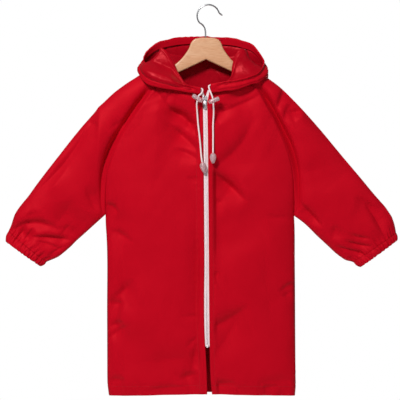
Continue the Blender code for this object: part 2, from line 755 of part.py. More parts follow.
def meshed(made):
    """A curve object made a closed mesh object of the same name."""
    bpy.context.view_layer.update()
    evaluated = made.evaluated_get(bpy.context.evaluated_depsgraph_get())
    mesh = bpy.data.meshes.new_from_object(evaluated)
    bm = bmesh.new()
    bm.from_mesh(mesh)
    bmesh.ops.remove_doubles(bm, verts=bm.verts, dist=1e-6)
    bmesh.ops.recalc_face_normals(bm, faces=bm.faces)
    bm.to_mesh(mesh)
    bm.free()
    name = made.name
    turned = new_object(name + "_mesh", mesh, None, made.location)
    turned.rotation_euler = made.rotation_euler
    bpy.data.objects.remove(made)
    turned.name = name
    return turned


def boolean(made, other, operation):
    step = made.modifiers.new(operation.lower(), "BOOLEAN")
    step.operation = operation
    step.object = other
    step.solver = "EXACT"


def make_garment(red):
    raglan_rows = np.linspace(0, 1, RAGLAN_ROWS + 1)
    body_rows = [
        *(raglan_rows * UNDERARM_ON_BODY),
        *np.linspace(UNDERARM_ON_BODY, 1, BODY_ROWS_BELOW_UNDERARM + 1)[1:],
    ]
    for side, sign in SIDES.items():
        cloth(
            f"front_{side}",
            lambda u, v, side=side: front_panel(side, u, v),
            np.linspace(0, 1, FRONT_COLUMNS + 1),
            body_rows,
            red,
            seams={"top": plain_seam, "end": raglan_on_body},
            flip=sign > 0,
        )
        cloth(
            f"hood_{side}",
            lambda u, v, side=side: hood(side, u, v),
            np.linspace(0, 1, HOOD_COLUMNS + 1),
            np.linspace(0, 1, HOOD_SPANS * HOOD_ROWS_A_SPAN + 1),
            red,
            seams={"top": plain_seam, "end": plain_seam},
            flip=sign > 0,
        )
        make_sleeve(side, raglan_rows, red)
    cloth(
        "back_panel",
        back_panel,
        np.linspace(0, 1, BACK_COLUMNS + 1),
        body_rows,
        red,
        seams={"top": plain_seam, "start": raglan_on_body, "end": raglan_on_body},
    )


def make_sleeve(side, raglan_rows, red):
    """A two-piece raglan sleeve, sewn along its upper and lower folds, and its cuff."""
    flip = SIDES[side] > 0
    sleeve_rows = [
        *(raglan_rows * UNDERARM_ON_SLEEVE),
        *np.linspace(UNDERARM_ON_SLEEVE, 1, SLEEVE_ROWS_BELOW_UNDERARM + 1)[1:],
    ]
    half_columns = SLEEVE_GATHERS * COLUMNS_A_GATHER // 2
    for face, first_u, inner, upper, beside_fold in (
        ("front", 0, "start", "end", -2),
        ("back", 0.5, "end", "start", 1),
    ):
        cloth(
            f"sleeve_{side}_{face}",
            lambda u, v: sleeve(side, u, v),
            np.delete(np.linspace(first_u, first_u + 0.5, half_columns + 1), beside_fold),
            sleeve_rows,
            red,
            seams={
                "top": plain_seam,
                "foot": plain_seam,
                inner: raglan_on_sleeve,
                upper: upper_fold_seam,
            },
            flip=flip,
        )
    cloth(
        f"cuff_{side}",
        lambda u, v: cuff(side, u, v),
        np.linspace(0, 1, CUFF_GATHERS * COLUMNS_A_GATHER + 1),
        np.linspace(0, 1, CUFF_ROWS + 1),
        red,
        seams={"top": plain_seam},
        flip=flip,
        tube=True,
    )


def make_zip(white, silver):
    for side, sign in SIDES.items():
        cloth(
            f"zip_tape_{side}",
            lambda u, v, side=side: zip_tape(side, u, v),
            [0, 1],
            np.linspace(0, 1, TAPE_ROWS + 1),
            white,
            flip=sign > 0,
            wall=TAPE_THICKNESS,
        )
    chain_rows = np.linspace(0, 1, CHAIN_ROWS + 1)
    cloth("zip_chain", zip_chain, [0, 1], chain_rows, white, wall=CHAIN_THICKNESS)
    stop_z = CHAIN_END * MM - SEAM_GAP
    middle, front = opening_line(np.array([stop_z]))
    x, y = middle[0], front[0] + TAPE_BEHIND
    box_object(
        "zip_bottom_stop",
        (x - STOP_WIDTH / 2, y - STOP_DEPTH / 2, stop_z - STOP_HEIGHT),
        (x + STOP_WIDTH / 2, y + STOP_DEPTH / 2, stop_z),
        0.6 * MM,
        white,
    )
    make_slider_and_pull(silver)


def make_slider_and_pull(silver):
    """The slider is two plates on a post, with a bridge on its face, and the pull's bar lies in
    the bridge."""
    centre_z = SLIDER_TOP - SLIDER_HEIGHT / 2
    middle, front = opening_line(np.array([centre_z]))
    x, chain_y = middle[0], front[0] + TAPE_BEHIND
    face = chain_y - CHAIN_THICKNESS / 2 - SEAM_GAP
    rear = chain_y + CHAIN_THICKNESS / 2 + SEAM_GAP
    plate_front = face - FRONT_PLATE
    low_x, high_x = x - SLIDER_WIDTH / 2, x + SLIDER_WIDTH / 2
    bottom = SLIDER_TOP - SLIDER_HEIGHT
    slider = box_object(
        "zip_slider",
        (low_x, plate_front, bottom),
        (high_x, face, SLIDER_TOP),
        0.5 * MM,
        silver,
    )
    plate = box_object(
        "slider_rear_plate",
        (low_x, rear, bottom),
        (high_x, rear + REAR_PLATE, SLIDER_TOP),
        0.4 * MM,
        silver,
    )
    post = box_object(
        "slider_post",
        (x - POST_WIDTH / 2, face - FRONT_PLATE / 2, CHAIN_TOP * MM + 1.2 * MM),
        (x + POST_WIDTH / 2, rear + REAR_PLATE / 2, SLIDER_TOP - POST_INSET),
        0.2 * MM,
        silver,
    )
    bridge_points = []
    for turn in np.linspace(0, math.pi, 11):
        y = plate_front + BRIDGE_FOOT - BRIDGE_HEIGHT * math.sin(turn)
        bridge_points.append((x, y, centre_z + BRIDGE_REACH * math.cos(turn)))
    bridge = meshed(poly_curve("slider_bridge", bridge_points, BRIDGE_WIRE, 1, silver))
    for piece in (plate, post, bridge):
        boolean(slider, as_helper(piece), "UNION")
    make_pull((x, plate_front - PULL_HINGE_REACH, centre_z), silver)


def make_pull(hinge, silver):
    """The pull: a flat tab with a round tip, and a window for the bridge under its bar."""
    half_width, tip = PULL_WIDTH / 2, PULL_LENGTH - PULL_BAR
    tip_half = half_width * PULL_TAPER
    outer = [(-half_width, PULL_BAR), (half_width, PULL_BAR)]
    for turn in np.linspace(0, math.pi, 7):
        outer.append((tip_half * math.cos(turn), half_width * (1 - math.sin(turn)) - tip))
    window = [
        (-PULL_WINDOW_WIDTH / 2, -PULL_BAR),
        (-PULL_WINDOW_WIDTH / 2, -PULL_WINDOW_END),
        (PULL_WINDOW_WIDTH / 2, -PULL_WINDOW_END),
        (PULL_WINDOW_WIDTH / 2, -PULL_BAR),
    ]
    outline_curve("zip_pull", [outer, window], PULL_THICKNESS / 2, silver, place=hinge)


def lock_hole(side):
    """The middle of a lock's hole in mm, on the lock's axis."""
    tilt, reach = math.radians(LOCK_TILT[side]), CORD_ALONG_LOCK[side]
    x, y, z = LOCK_CENTRE[side]
    return x + reach * math.cos(tilt), y, z - reach * math.sin(tilt)


def cord_route(side):
    """A drawcord end's points in mm: it goes straight through its lock's hole."""
    lean = math.radians(CORD_LEAN[side])
    x, y, z = lock_hole(side)
    through = [
        (x + reach * math.sin(lean), y, z + reach * math.cos(lean)) for reach in (7.0, 0, -7.0)
    ]
    return [*CORD_ABOVE_LOCK[side], *through, *CORD_BELOW_LOCK[side]]


def make_cords(white, clear):
    for side in SIDES:
        route = cord_route(side)
        length = np.linalg.norm(np.diff(np.asarray(route) * MM, axis=0), axis=1).sum()
        shares = np.linspace(0, 1, int(length / CORD_SPACING) + 1)
        poly_curve(f"cord_{side}", along(route, shares), CORD_DIAMETER / 2, 2, white)
        make_lock(side, clear)
        make_bell(side, clear)


def make_lock(side, clear):
    """A barrel cord lock: a cylinder with round ends and a hole across it for the cord."""
    centre = Vector(LOCK_CENTRE[side]) * MM
    turn = Matrix.Rotation(math.radians(LOCK_TILT[side]), 4, "Y")
    bm = bmesh.new()
    bmesh.ops.create_cone(
        bm,
        cap_ends=True,
        segments=14,
        radius1=LOCK_DIAMETER / 2,
        radius2=LOCK_DIAMETER / 2,
        depth=LOCK_LENGTH,
        matrix=Matrix.Rotation(math.radians(90), 4, "Y"),
    )
    rims = [edge for edge in bm.edges if abs(edge.verts[0].co.x - edge.verts[1].co.x) < 1e-6]
    bmesh.ops.bevel(
        bm, geom=rims, offset=LOCK_ROUNDING, segments=2, profile=0.5, affect="EDGES", material=-1
    )
    bmesh.ops.transform(bm, verts=bm.verts, matrix=Matrix.Translation(centre) @ turn)
    mesh = bpy.data.meshes.new(f"cord_lock_{side}")
    bm.to_mesh(mesh)
    bm.free()
    lock = new_object(f"cord_lock_{side}", mesh, clear)
    hole = bmesh.new()
    lean = Matrix.Rotation(math.radians(CORD_LEAN[side]), 4, "Y")
    bmesh.ops.create_cone(
        hole,
        cap_ends=True,
        segments=12,
        radius1=CORD_DIAMETER / 2 + LOCK_HOLE_CLEARANCE,
        radius2=CORD_DIAMETER / 2 + LOCK_HOLE_CLEARANCE,
        depth=LOCK_DIAMETER * 2,
        matrix=Matrix.Translation(Vector(lock_hole(side)) * MM) @ lean,
    )
    mesh = bpy.data.meshes.new(f"lock_hole_{side}")
    hole.to_mesh(mesh)
    hole.free()
    cutter = as_helper(new_object(f"lock_hole_{side}", mesh, None))
    boolean(lock, cutter, "DIFFERENCE")


# The half section of a cord's end, which is egg-shaped and open at its tip: from inside its top down
# to its rim and up its outside: radius, z
BELL_PROFILE = [
    (0.0, -8.6),
    (3.0, -9.4),
    (4.2, -12.2),
    (3.2, -16.8),
    (1.2, -21.6),
    (2.2, -22.0),
    (4.4, -18.0),
    (6.2, -13.0),
    (6.9, -8.6),
    (6.3, -4.2),
    (4.6, -1.4),
    (2.6, 0.0),
    (0.0, 0.0),
]


def make_bell(side, clear):
    """A cord's end bell, turned about its own axis and hollow from below."""
    bm = bmesh.new()
    ring = [bm.verts.new((radius * MM, 0, z * MM)) for radius, z in BELL_PROFILE]
    edges = [bm.edges.new(pair) for pair in zip(ring, ring[1:])]
    bmesh.ops.spin(
        bm,
        geom=ring + edges,
        cent=(0, 0, 0),
        axis=(0, 0, 1),
        angle=2 * math.pi,
        steps=14,
        use_merge=True,
        use_normal_flip=False,
    )
    bmesh.ops.remove_doubles(bm, verts=bm.verts, dist=1e-6)
    bmesh.ops.recalc_face_normals(bm, faces=bm.faces)
    mesh = bpy.data.meshes.new(f"cord_end_{side}")
    bm.to_mesh(mesh)
    bm.free()
    bell = new_object(f"cord_end_{side}", mesh, clear, Vector(BELL_TOP[side]) * MM)
    bell.rotation_euler = (0, math.radians(BELL_TILT[side]), 0)


def make_hanger(beech, steel):
    upper = [tuple(point[[0, 2]]) for point in along(standing(HANGER_UPPER), np.linspace(0, 1, 17))]
    tip = [(x * MM, z * MM) for x, z in HANGER_TIP]
    notch = [(HANGER_NOTCH[0] * MM, HANGER_NOTCH[1] * MM)]
    right = upper + tip
    left = [(-x, z) for x, z in right[1:]]
    outline_curve(
        "hanger_wood",
        [right + notch + left[::-1]],
        HANGER_THICKNESS / 2,
        beech,
        edge_radius=HANGER_EDGE_RADIUS,
    )
    radius = HOOK_BOW_RADIUS
    centre_x, centre_z = HOOK_TOP_X / MM, HOOK_WIRE / 2 / MM - radius
    route = list(HOOK_STEM)
    steps = 14
    for step in range(steps + 1):
        turn = math.radians(HOOK_BOW_START - HOOK_BOW_TURN * step / steps)
        route.append((centre_x + radius * math.cos(turn), centre_z + radius * math.sin(turn)))
    route += HOOK_TIP
    points = along(standing(route), np.linspace(0, 1, 30))
    poly_curve("hanger_hook", points, HOOK_WIRE / 2, 2, steel)


for old in list(bpy.data.objects):
    bpy.data.objects.remove(old)

COLLECTION = bpy.data.collections.new("kids_rain_jacket")
HELPERS = bpy.data.collections.new("helpers")
bpy.context.scene.collection.children.link(COLLECTION)
bpy.context.scene.collection.children.link(HELPERS)
CARRIER = bpy.data.objects.new("jacket_carrier", None)
CARRIER.location = (-HOOK_TOP_X, 0, 0)
COLLECTION.objects.link(CARRIER)

make_garment(material("coated_red_nylon", (0.52, 0.003, 0.012), 0.42))
make_zip(
    material("white_zip_tape", (0.86, 0.84, 0.85), 0.6),
    material("nickel_plated_zinc", (0.66, 0.66, 0.68), 0.3, 1.0),
)
make_cords(
    material("white_braided_cord", (0.88, 0.86, 0.86), 0.75),
    material("clear_moulded_plastic", (0.85, 0.82, 0.83), 0.2, alpha=0.6),
)
make_hanger(
    material("pale_beech", (0.73, 0.42, 0.24), 0.5),
    material("bright_steel_wire", (0.58, 0.58, 0.6), 0.25, 1.0),
)
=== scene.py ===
# %% [markdown]
# # A child's rain jacket on a wooden hanger
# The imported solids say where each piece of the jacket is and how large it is.  This lesson dresses
# them: thin cloth with creases and stitches, a coil zip, braided cord ends and a wooden hanger.
# The frame is in metres, +Z is up and the front faces -Y.  Tables are in millimetres: x counts
# from the zip's line, to the right as seen from the front, and z from inside the hook's top.
# `in_frame` and `in_table` turn one into the other.

import json
import math
from functools import partial

import bmesh
import bpy
import numpy as np
from mathutils import Matrix, Vector

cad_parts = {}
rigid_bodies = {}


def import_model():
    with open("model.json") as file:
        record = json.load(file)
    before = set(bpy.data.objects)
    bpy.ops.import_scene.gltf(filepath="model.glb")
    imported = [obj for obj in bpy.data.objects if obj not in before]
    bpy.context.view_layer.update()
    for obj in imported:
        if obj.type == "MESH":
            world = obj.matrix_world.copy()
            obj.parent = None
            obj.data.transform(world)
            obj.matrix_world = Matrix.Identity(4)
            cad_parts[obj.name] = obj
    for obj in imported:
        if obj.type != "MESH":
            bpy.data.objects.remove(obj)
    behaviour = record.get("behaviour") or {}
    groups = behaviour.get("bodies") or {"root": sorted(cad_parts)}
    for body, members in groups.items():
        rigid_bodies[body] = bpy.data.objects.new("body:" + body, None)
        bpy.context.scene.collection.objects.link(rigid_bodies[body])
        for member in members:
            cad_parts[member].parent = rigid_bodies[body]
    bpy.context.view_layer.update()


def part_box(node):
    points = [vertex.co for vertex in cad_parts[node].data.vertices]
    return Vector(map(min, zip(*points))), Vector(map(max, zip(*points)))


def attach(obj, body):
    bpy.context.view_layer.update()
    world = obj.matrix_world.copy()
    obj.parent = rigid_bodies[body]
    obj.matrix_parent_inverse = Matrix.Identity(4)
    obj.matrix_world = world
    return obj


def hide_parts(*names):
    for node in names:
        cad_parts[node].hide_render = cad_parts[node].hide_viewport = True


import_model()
MM = 0.001
HOOK_TOP_X = 5.3
TO_FRAME = np.array([-HOOK_TOP_X, 0, 0]) * MM
SIDES = {"left": -1, "right": 1}


def in_frame(point):
    """A point of a table, in mm, as a place in the frame."""
    return (Vector(point) - Vector((HOOK_TOP_X, 0, 0))) * MM


def in_table(place):
    """A place in the frame as a point of a table, in mm."""
    return tuple(place / MM + Vector((HOOK_TOP_X, 0, 0)))


# %% [markdown]
# ## Camera
# A catalogue view is taken from well back, so that the sleeves and the hem keep their true
# proportions.  A long lens from 4 m does that, and its view is 0.88 m across at the jacket.

# %% Camera
VIEW_WIDTH = 0.88
CAMERA_DISTANCE = 4.0
VIEW_CENTRE = Vector((-0.0185, 0, -0.4279))
camera = bpy.data.objects.new("camera", bpy.data.cameras.new("camera"))
camera.data.lens = camera.data.sensor_width * CAMERA_DISTANCE / VIEW_WIDTH
camera.location = VIEW_CENTRE + Vector((0, -CAMERA_DISTANCE, 0))
camera.rotation_euler = (math.radians(90), 0, 0)
bpy.context.scene.collection.objects.link(camera)
bpy.context.scene.camera = camera
bpy.context.scene.view_settings.view_transform = "Standard"
print("lens:", round(camera.data.lens, 1), "mm")

# %% [markdown]
# ## Smooth lines from short tables
# Every edge of the jacket is a smooth line through a few rows.  A cubic through the rows, with
# slopes taken from the neighbours, bends like a drawn curve and needs no handles.


# %% Smooth lines
def smooth(t, knots, values):
    """Values at t on a smooth curve through the rows of values at the knots."""
    knots = np.asarray(knots, float)
    values = np.asarray(values, float)
    t = np.clip(t, knots[0], knots[-1])
    slopes = np.gradient(values, knots, axis=0)
    i = np.clip(np.searchsorted(knots, t, side="right") - 1, 0, len(knots) - 2)
    span = knots[i + 1] - knots[i]
    s = (t - knots[i]) / span
    if values.ndim > 1:
        s, span = s[..., None], span[..., None]
    start, end = values[i], values[i + 1]
    rise = end - start
    lead, tail = slopes[i] * span - rise, rise - slopes[i + 1] * span
    return start + s * rise + s * (1 - s) * ((1 - s) * lead + s * tail)


def along(rows, t):
    """Points in metres at the shares t of the length of a smooth line through rows in mm."""
    rows = np.asarray(rows, float) * MM
    length = np.concatenate([[0], np.cumsum(np.linalg.norm(np.diff(rows, axis=0), axis=1))])
    return smooth(t, length / length[-1], rows)


def column(table, t, index):
    """One column of a table, in metres, smooth in its first column."""
    table = np.asarray(table, float)
    order = np.argsort(table[:, 0])
    return smooth(t, table[order, 0], table[order, index] * MM)


def ease(t, start, end):
    """0 up to start and 1 from end, with a soft change between them."""
    s = np.clip((t - start) / (end - start), 0, 1)
    return s * s * (3 - 2 * s)


def unit(vectors):
    return vectors / np.maximum(np.linalg.norm(vectors, axis=-1, keepdims=True), 1e-12)


def hump(distance, width):
    return np.exp(-((distance / width) ** 2))


print("half-way up a step:", float(ease(0.5, 0, 1)), "and beside a hump:", round(hump(1, 1), 2))


# %% [markdown]
# ## From a grid to a surface
# A panel of cloth starts as a flat grid, and each of its points is moved to where a function of
# u (across) and v (down) says.  The grid keeps its faces in order, so one helper serves cloth,
# cords and wire.  The map named "cut" holds u and v in metres of the flat cut, and patterns that
# follow the cloth read it.


# %% Mapped grids
def mapped_grid(name, across, down, surface, flat=(1, 1), flip=False, weld=None):
    """An object made from a grid at the values across and down, mapped by surface(u, v).
    weld(u, v) picks the rim points of a tube, which are merged."""
    bm = bmesh.new()
    columns, rows = len(across) - 1, len(down) - 1
    bmesh.ops.create_grid(bm, x_segments=columns, y_segments=rows, size=0.5)
    bm.verts.index_update()
    places = np.array([vert.co[:2] for vert in bm.verts]) + 0.5
    u = np.asarray(across)[np.rint(places[:, 0] * columns).astype(int)]
    v = np.asarray(down)[np.rint(places[:, 1] * rows).astype(int)]
    for vert, point in zip(bm.verts, surface(u, v) + TO_FRAME):
        vert.co = point
    cut = bm.loops.layers.uv.new("cut")
    for face in bm.faces:
        for loop in face.loops:
            i = loop.vert.index
            loop[cut].uv = (u[i] * flat[0], v[i] * flat[1])
    if weld is not None:
        rim = [vert for vert, at in zip(bm.verts, weld(u, v)) if at]
        bmesh.ops.remove_doubles(bm, verts=rim, dist=0.02 * MM)
    if flip:
        bmesh.ops.reverse_faces(bm, faces=bm.faces)
    return finished(bm, name)


def goes_round(u, v):
    """Which points lie on the rims that meet when a grid is rolled up."""
    return (u <= 0) | (u >= 1)


def finished(bm, name):
    """The bmesh as a smooth-shaded object at the origin."""
    mesh = bpy.data.meshes.new(name)
    bm.to_mesh(mesh)
    bm.free()
    mesh.shade_smooth()
    made = bpy.data.objects.new(name, mesh)
    bpy.context.scene.collection.objects.link(made)
    return made


def dressed(made, finish, body="jacket", stands_for=()):
    """Gives a piece its finish and its body, and hides the nodes it replaces."""
    made.data.materials.append(finish)
    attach(made, body)
    if stands_for:
        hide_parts(*stands_for)
    return made


# %% Tubes along a path
def transported(path):
    """Two directions across a path, carried along it without twisting."""
    tangents = unit(np.gradient(path, axis=0))
    least = np.argmin(np.abs(tangents[0]))
    sideways = [unit(np.cross(tangents[0], np.eye(3)[least]))]
    for tangent in tangents[1:]:
        before = sideways[-1]
        sideways.append(unit(before - tangent * (before @ tangent)))
    sideways = np.array(sideways)
    return sideways, np.cross(tangents, sideways)


def tube(name, path, radius, sides, relief=None):
    """A round bar along path, in mm, with closed ends.  relief(turn, travel) adds to its radius."""
    path = np.asarray(path, float)
    first, second = transported(path)
    steps = np.linalg.norm(np.diff(path, axis=0), axis=1)
    travel = np.concatenate([[0], np.cumsum(steps)])
    last = len(path) - 1

    def surface(u, v):
        row = np.rint(v * last).astype(int)
        turn = math.tau * u
        reach = np.full_like(turn, radius)
        if relief is not None:
            reach = reach + relief(turn, travel[row])
        round_it = first[row] * np.cos(turn)[:, None] + second[row] * np.sin(turn)[:, None]
        return (path[row] + round_it * reach[:, None]) * MM

    made = mapped_grid(
        name,
        np.linspace(0, 1, sides + 1),
        np.linspace(0, 1, last + 1),
        surface,
        flat=(math.tau * radius * MM, travel[-1] * MM),
        weld=goes_round,
    )
    bm = bmesh.new()
    bm.from_mesh(made.data)
    rims = [edge for edge in bm.edges if edge.is_boundary]
    bmesh.ops.holes_fill(bm, edges=rims, sides=0)
    bmesh.ops.recalc_face_normals(bm, faces=bm.faces)
    bm.to_mesh(made.data)
    bm.free()
    made.data.shade_smooth()
    return made


# %% [markdown]
# ## Colours and nodes
# A colour is written as it would be read off a screen, in hex, and made linear once.  One helper
# adds any node, sets it up and links it.


# %% Material helpers
def linear(hex_colour):
    """A screen colour such as "#c01020" as linear red, green, blue and alpha."""
    parts = [int(hex_colour[i : i + 2], 16) / 255 for i in (1, 3, 5)]
    return (*[p / 12.92 if p <= 0.04045 else ((p + 0.055) / 1.055) ** 2.4 for p in parts], 1)


def add_node(tree, kind, settings=(), inputs=()):
    """A node with its own settings, and its inputs set to values or linked to sockets."""
    node = tree.nodes.new(kind)
    for name, value in dict(settings).items():
        setattr(node, name, value)
    for name, value in dict(inputs).items():
        if isinstance(value, bpy.types.NodeSocket):
            tree.links.new(value, node.inputs[name])
        else:
            node.inputs[name].default_value = value
    return node


def new_material(name, **sockets):
    """A material whose Principled shader has these sockets; it returns the tree and shader too."""
    made = bpy.data.materials.new(name)
    made.use_nodes = True
    shader = made.node_tree.nodes["Principled BSDF"]
    for socket, value in sockets.items():
        shader.inputs[socket.replace("_", " ")].default_value = value
    return made, made.node_tree, shader


def pattern_size(width_mm):
    """The Scale of a noise whose humps are about this wide."""
    return 1 / (width_mm * MM)


# %% [markdown]
# ## Drawcord ends
# The hood's drawcord leaves its tunnel beside the zip on each side, goes through a lock and ends
# in a bell.  Its line comes first, and its length is measured along it.  It is a braid of
# white polyester, 3.6 mm thick: eight strands cross each other, which the tube's radius shows.

# %% Cord lines
CORD_DIAMETER = 3.6
CORD_ABOVE_LOCK = {
    "left": [
        (-13.6, -38.2, -184.9),
        (-11.0, -38.3, -185.1),
        (-8.4, -39.2, -186.5),
        (-7.6, -42.4, -190.5),
        (-10.8, -46.4, -196.8),
    ],
    "right": [
        (11.4, -38.3, -177.7),
        (8.8, -38.4, -177.9),
        (6.5, -39.4, -179.4),
        (6.6, -43.2, -184.8),
        (9.9, -46.6, -194.0),
    ],
}
CORD_BELOW_LOCK = {
    "left": [
        (-20.2, -44.8, -221),
        (-19.4, -40.0, -234),
        (-18.5, -37.8, -248),
        (-16.9, -37.8, -266),
        (-14.3, -38.2, -288.4),
        (-12.0, -38.8, -312),
        (-10.4, -40.6, -332),
        (-8.4, -42.2, -346.2),
    ],
    "right": [
        (16.4, -44.8, -226),
        (16.6, -40.0, -238),
        (16.0, -37.8, -251),
        (15.3, -37.9, -265),
        (15.4, -38.4, -286),
        (15.3, -40.2, -308),
        (15.2, -42.0, -326.0),
    ],
}
LOCK_CENTRE = {"left": (-18.7, -47.6, -207.0), "right": (17.2, -47.6, -211.4)}
LOCK_TILT = {"left": 32.0, "right": -22.0}  # degrees
CORD_ALONG_LOCK = {"left": 1.3, "right": -2.4}  # the hole's place, to the right of the middle
CORD_LEAN = {"left": 16.0, "right": -7.0}  # degrees: the cord leans in the hole
CORD_IN_LOCK = 7.0
CORD_POINTS = 150
BRAID_STRANDS = 4  # in each of the two directions
BRAID_PITCH = 9.0
BRAID_RELIEF = 0.16


def lock_hole(side):
    """The middle of a lock's hole in mm, on the lock's axis."""
    tilt, reach = math.radians(LOCK_TILT[side]), CORD_ALONG_LOCK[side]
    x, y, z = LOCK_CENTRE[side]
    return x + reach * math.cos(tilt), y, z - reach * math.sin(tilt)


def cord_line(side):
    """The points of a cord's free end in mm: it goes straight through its lock."""
    lean = math.radians(CORD_LEAN[side])
    x, y, z = lock_hole(side)
    through = [
        (x + reach * math.sin(lean), y, z + reach * math.cos(lean))
        for reach in (CORD_IN_LOCK, 0, -CORD_IN_LOCK)
    ]
    rows = [*CORD_ABOVE_LOCK[side], *through, *CORD_BELOW_LOCK[side]]
    return along(rows, np.linspace(0, 1, CORD_POINTS)) / MM


def braid(turn, travel):
    """The height of crossed strands: two sets of spirals, one each way."""
    rise = math.tau * travel / BRAID_PITCH
    one_way = np.abs(np.sin((turn * BRAID_STRANDS + rise * BRAID_STRANDS) / 2))
    other_way = np.abs(np.sin((turn * BRAID_STRANDS - rise * BRAID_STRANDS) / 2))
    return BRAID_RELIEF * (np.maximum(one_way, other_way) - 0.75)


print("braid:", 2 * BRAID_STRANDS, "strands,", BRAID_PITCH, "mm a turn")


# %% Braided polyester: matt, and each fibre scatters light, so a little sheen and no gloss
cord_finish, tree, shader = new_material(
    "braided_polyester_cord",
    Base_Color=linear("#f6ecec"),
    Roughness=0.8,
    Specular_IOR_Level=0.3,
    Sheen_Weight=0.25,
)
place = add_node(tree, "ShaderNodeTexCoord")
fibres = add_node(
    tree,
    "ShaderNodeTexNoise",
    inputs={"Vector": place.outputs["Object"], "Scale": pattern_size(0.6), "Detail": 2},
)
tint = add_node(tree, "ShaderNodeMix", {"data_type": "RGBA"}, {"Factor": fibres.outputs["Fac"]})
tint.inputs["A"].default_value = linear("#fff2f3")
tint.inputs["B"].default_value = linear("#efd2d5")
tree.links.new(tint.outputs["Result"], shader.inputs["Base Color"])
bump = add_node(
    tree,
    "ShaderNodeBump",
    inputs={"Height": fibres.outputs["Fac"], "Strength": 0.5, "Distance": 0.1 * MM},
)
tree.links.new(bump.outputs["Normal"], shader.inputs["Normal"])
print("finish:", cord_finish.name)

# %% Cords
cords, cord_lengths = {}, {}
for side in SIDES:
    line = cord_line(side)
    cords[side] = dressed(
        tube(f"drawcord_{side}", line, CORD_DIAMETER / 2, 16, braid),
        cord_finish,
        stands_for=[f"cord_{side}"],
    )
    cord_lengths[side] = np.linalg.norm(np.diff(line, axis=0), axis=1).sum() * MM
    print(f"drawcord {side}:", round(cord_lengths[side] * 1000), "mm")

# %% [markdown]
# ## The cut of the jacket
# These tables are the jacket's pattern as it hangs: the neck seam, the raglan seams from the neck
# to the underarm, the side edges, the front opening, and how far the body stands out.


# %% Pattern tables
HEM_Z, HEM_CORNER_Z = -852.5, -857.5
UNDERARM_ON_BODY, UNDERARM_ON_SLEEVE = 0.44, 0.635
NECK_MIDDLE = -1.75
# The neck seam, front to back, mirrored about the zip's top: across, y, z
NECK = [
    (8.4, -30.5, -196.5),
    (40, -31, -191),
    (70, -27, -180),
    (93, -20, -166),
    (101, -11.5, -150.5),
    (104, 0, -145.5),
    (98, 11, -143.5),
    (85, 16.5, -141.5),
    (50, 20.5, -138.5),
    (0, 22, -137.5),
]
FRONT_NECK_SHARE, SHOULDER_NECK_SHARE, BACK_NECK_SHARE = 0.387, 0.525, 0.640
# The front raglan seams: x, y, z
RAGLAN_FRONT = {
    "left": [
        (-110.9, -21, -181.5),
        (-138.8, -20.5, -218),
        (-172.5, -18, -268.6),
        (-200.6, -14.5, -319),
        (-217.5, -9.5, -372),
        (-220.5, -4, -420),
        (-220.9, 0, -459.4),
    ],
    "right": [
        (108.5, -21, -184),
        (136.2, -20.5, -229.2),
        (158.6, -18, -274.1),
        (178.2, -14.5, -319),
        (190.3, -9.5, -369.6),
        (193.2, -4, -420),
        (193.5, 0, -462.2),
    ],
}
BACK_SEAM_RISE, BACK_SEAM_DEPTH = 6, 0.78
# The side edge below the underarm: x, z
SIDE_EDGE = {
    "left": [(-220.6, -478), (-218.8, -505), (-217.4, -680), (-216.9, HEM_CORNER_Z)],
    "right": [(194.4, -480), (195.2, -560), (196.2, -720), (197.0, HEM_CORNER_Z)],
}
# The front opening: z, middle x, half its width
OPENING = [
    (-196.5, -1.75, 8.4),
    (-204, -2.0, 6.8),
    (-213, -2.2, 5.0),
    (-224, -2.1, 4.9),
    (-290, -1.0, 4.9),
    (-400, 0, 4.9),
    (-540, 1.1, 4.9),
    (-742, 2.8, 4.9),
    (-764, 3.7, 4.3),
    (-812, 5.6, 4.0),
    (HEM_Z, 7.8, 5.2),
]
# How far the front and the back stand out along the middle: z, front, back
FULLNESS = [
    (-137, 30.5, 22),
    (-196.5, 30.5, 24),
    (-260, 33, 26),
    (-400, 34.5, 27),
    (-600, 33.5, 26),
    (HEM_Z, 31, 24),
]
# The sleeve's upper fold, and its lower fold past the underarm: x, z
UPPER_FOLD = {
    "left": [
        (-125, -147.5),
        (-142, -150),
        (-161, -160.7),
        (-197.5, -187.2),
        (-260.8, -252.8),
        (-324.6, -332),
        (-384.4, -411),
        (-419, -463.1),
        (-434.3, -498),
    ],
    "right": [
        (116, -150),
        (133, -158.3),
        (154, -172.9),
        (195.8, -212.3),
        (244, -265.1),
        (299, -331.1),
        (354.4, -397.1),
        (400, -455.5),
        (412, -477),
        (417.5, -501),
    ],
}
LOWER_FOLD = {
    "left": [(-246, -482), (-271.4, -505), (-311, -538.5), (-336, -557), (-352, -564)],
    "right": [(212, -475.5), (253, -514.5), (288.2, -543), (307, -558), (325.5, -564.5)],
}
# Half the sleeve's depth: how far along it, depth
SLEEVE_DEPTH = [
    (0, 0),
    (0.12, 3),
    (0.3, 6),
    (0.45, 13),
    (0.6, 19),
    (0.8, 21),
    (0.92, 20),
    (1, 19),
]
# The cuff's free edge: upper end x, z, lower end x, z
CUFF_EDGE = {
    "left": (-439.5, -519.5, -364.5, -573),
    "right": (420.5, -516, 340.5, -574.5),
}
print("body:", round(OPENING[0][0] - HEM_Z), "mm from the neck seam to the hem")

# %% [markdown]
# ## Seam lines
# Two panels that are sewn together share one line, so both read it from the same function.


# %% Seam lines
def joined(first, second, t, place):
    """The line first up to the share place, then the line second."""
    early = first(np.clip(t / place, 0, 1))
    late = second(np.clip((t - place) / (1 - place), 0, 1))
    return np.where((t < place)[..., None], early, late)


def standing(rows):
    """Rows of x, z as rows of x, 0, z."""
    return [(x, 0, z) for x, z in rows]


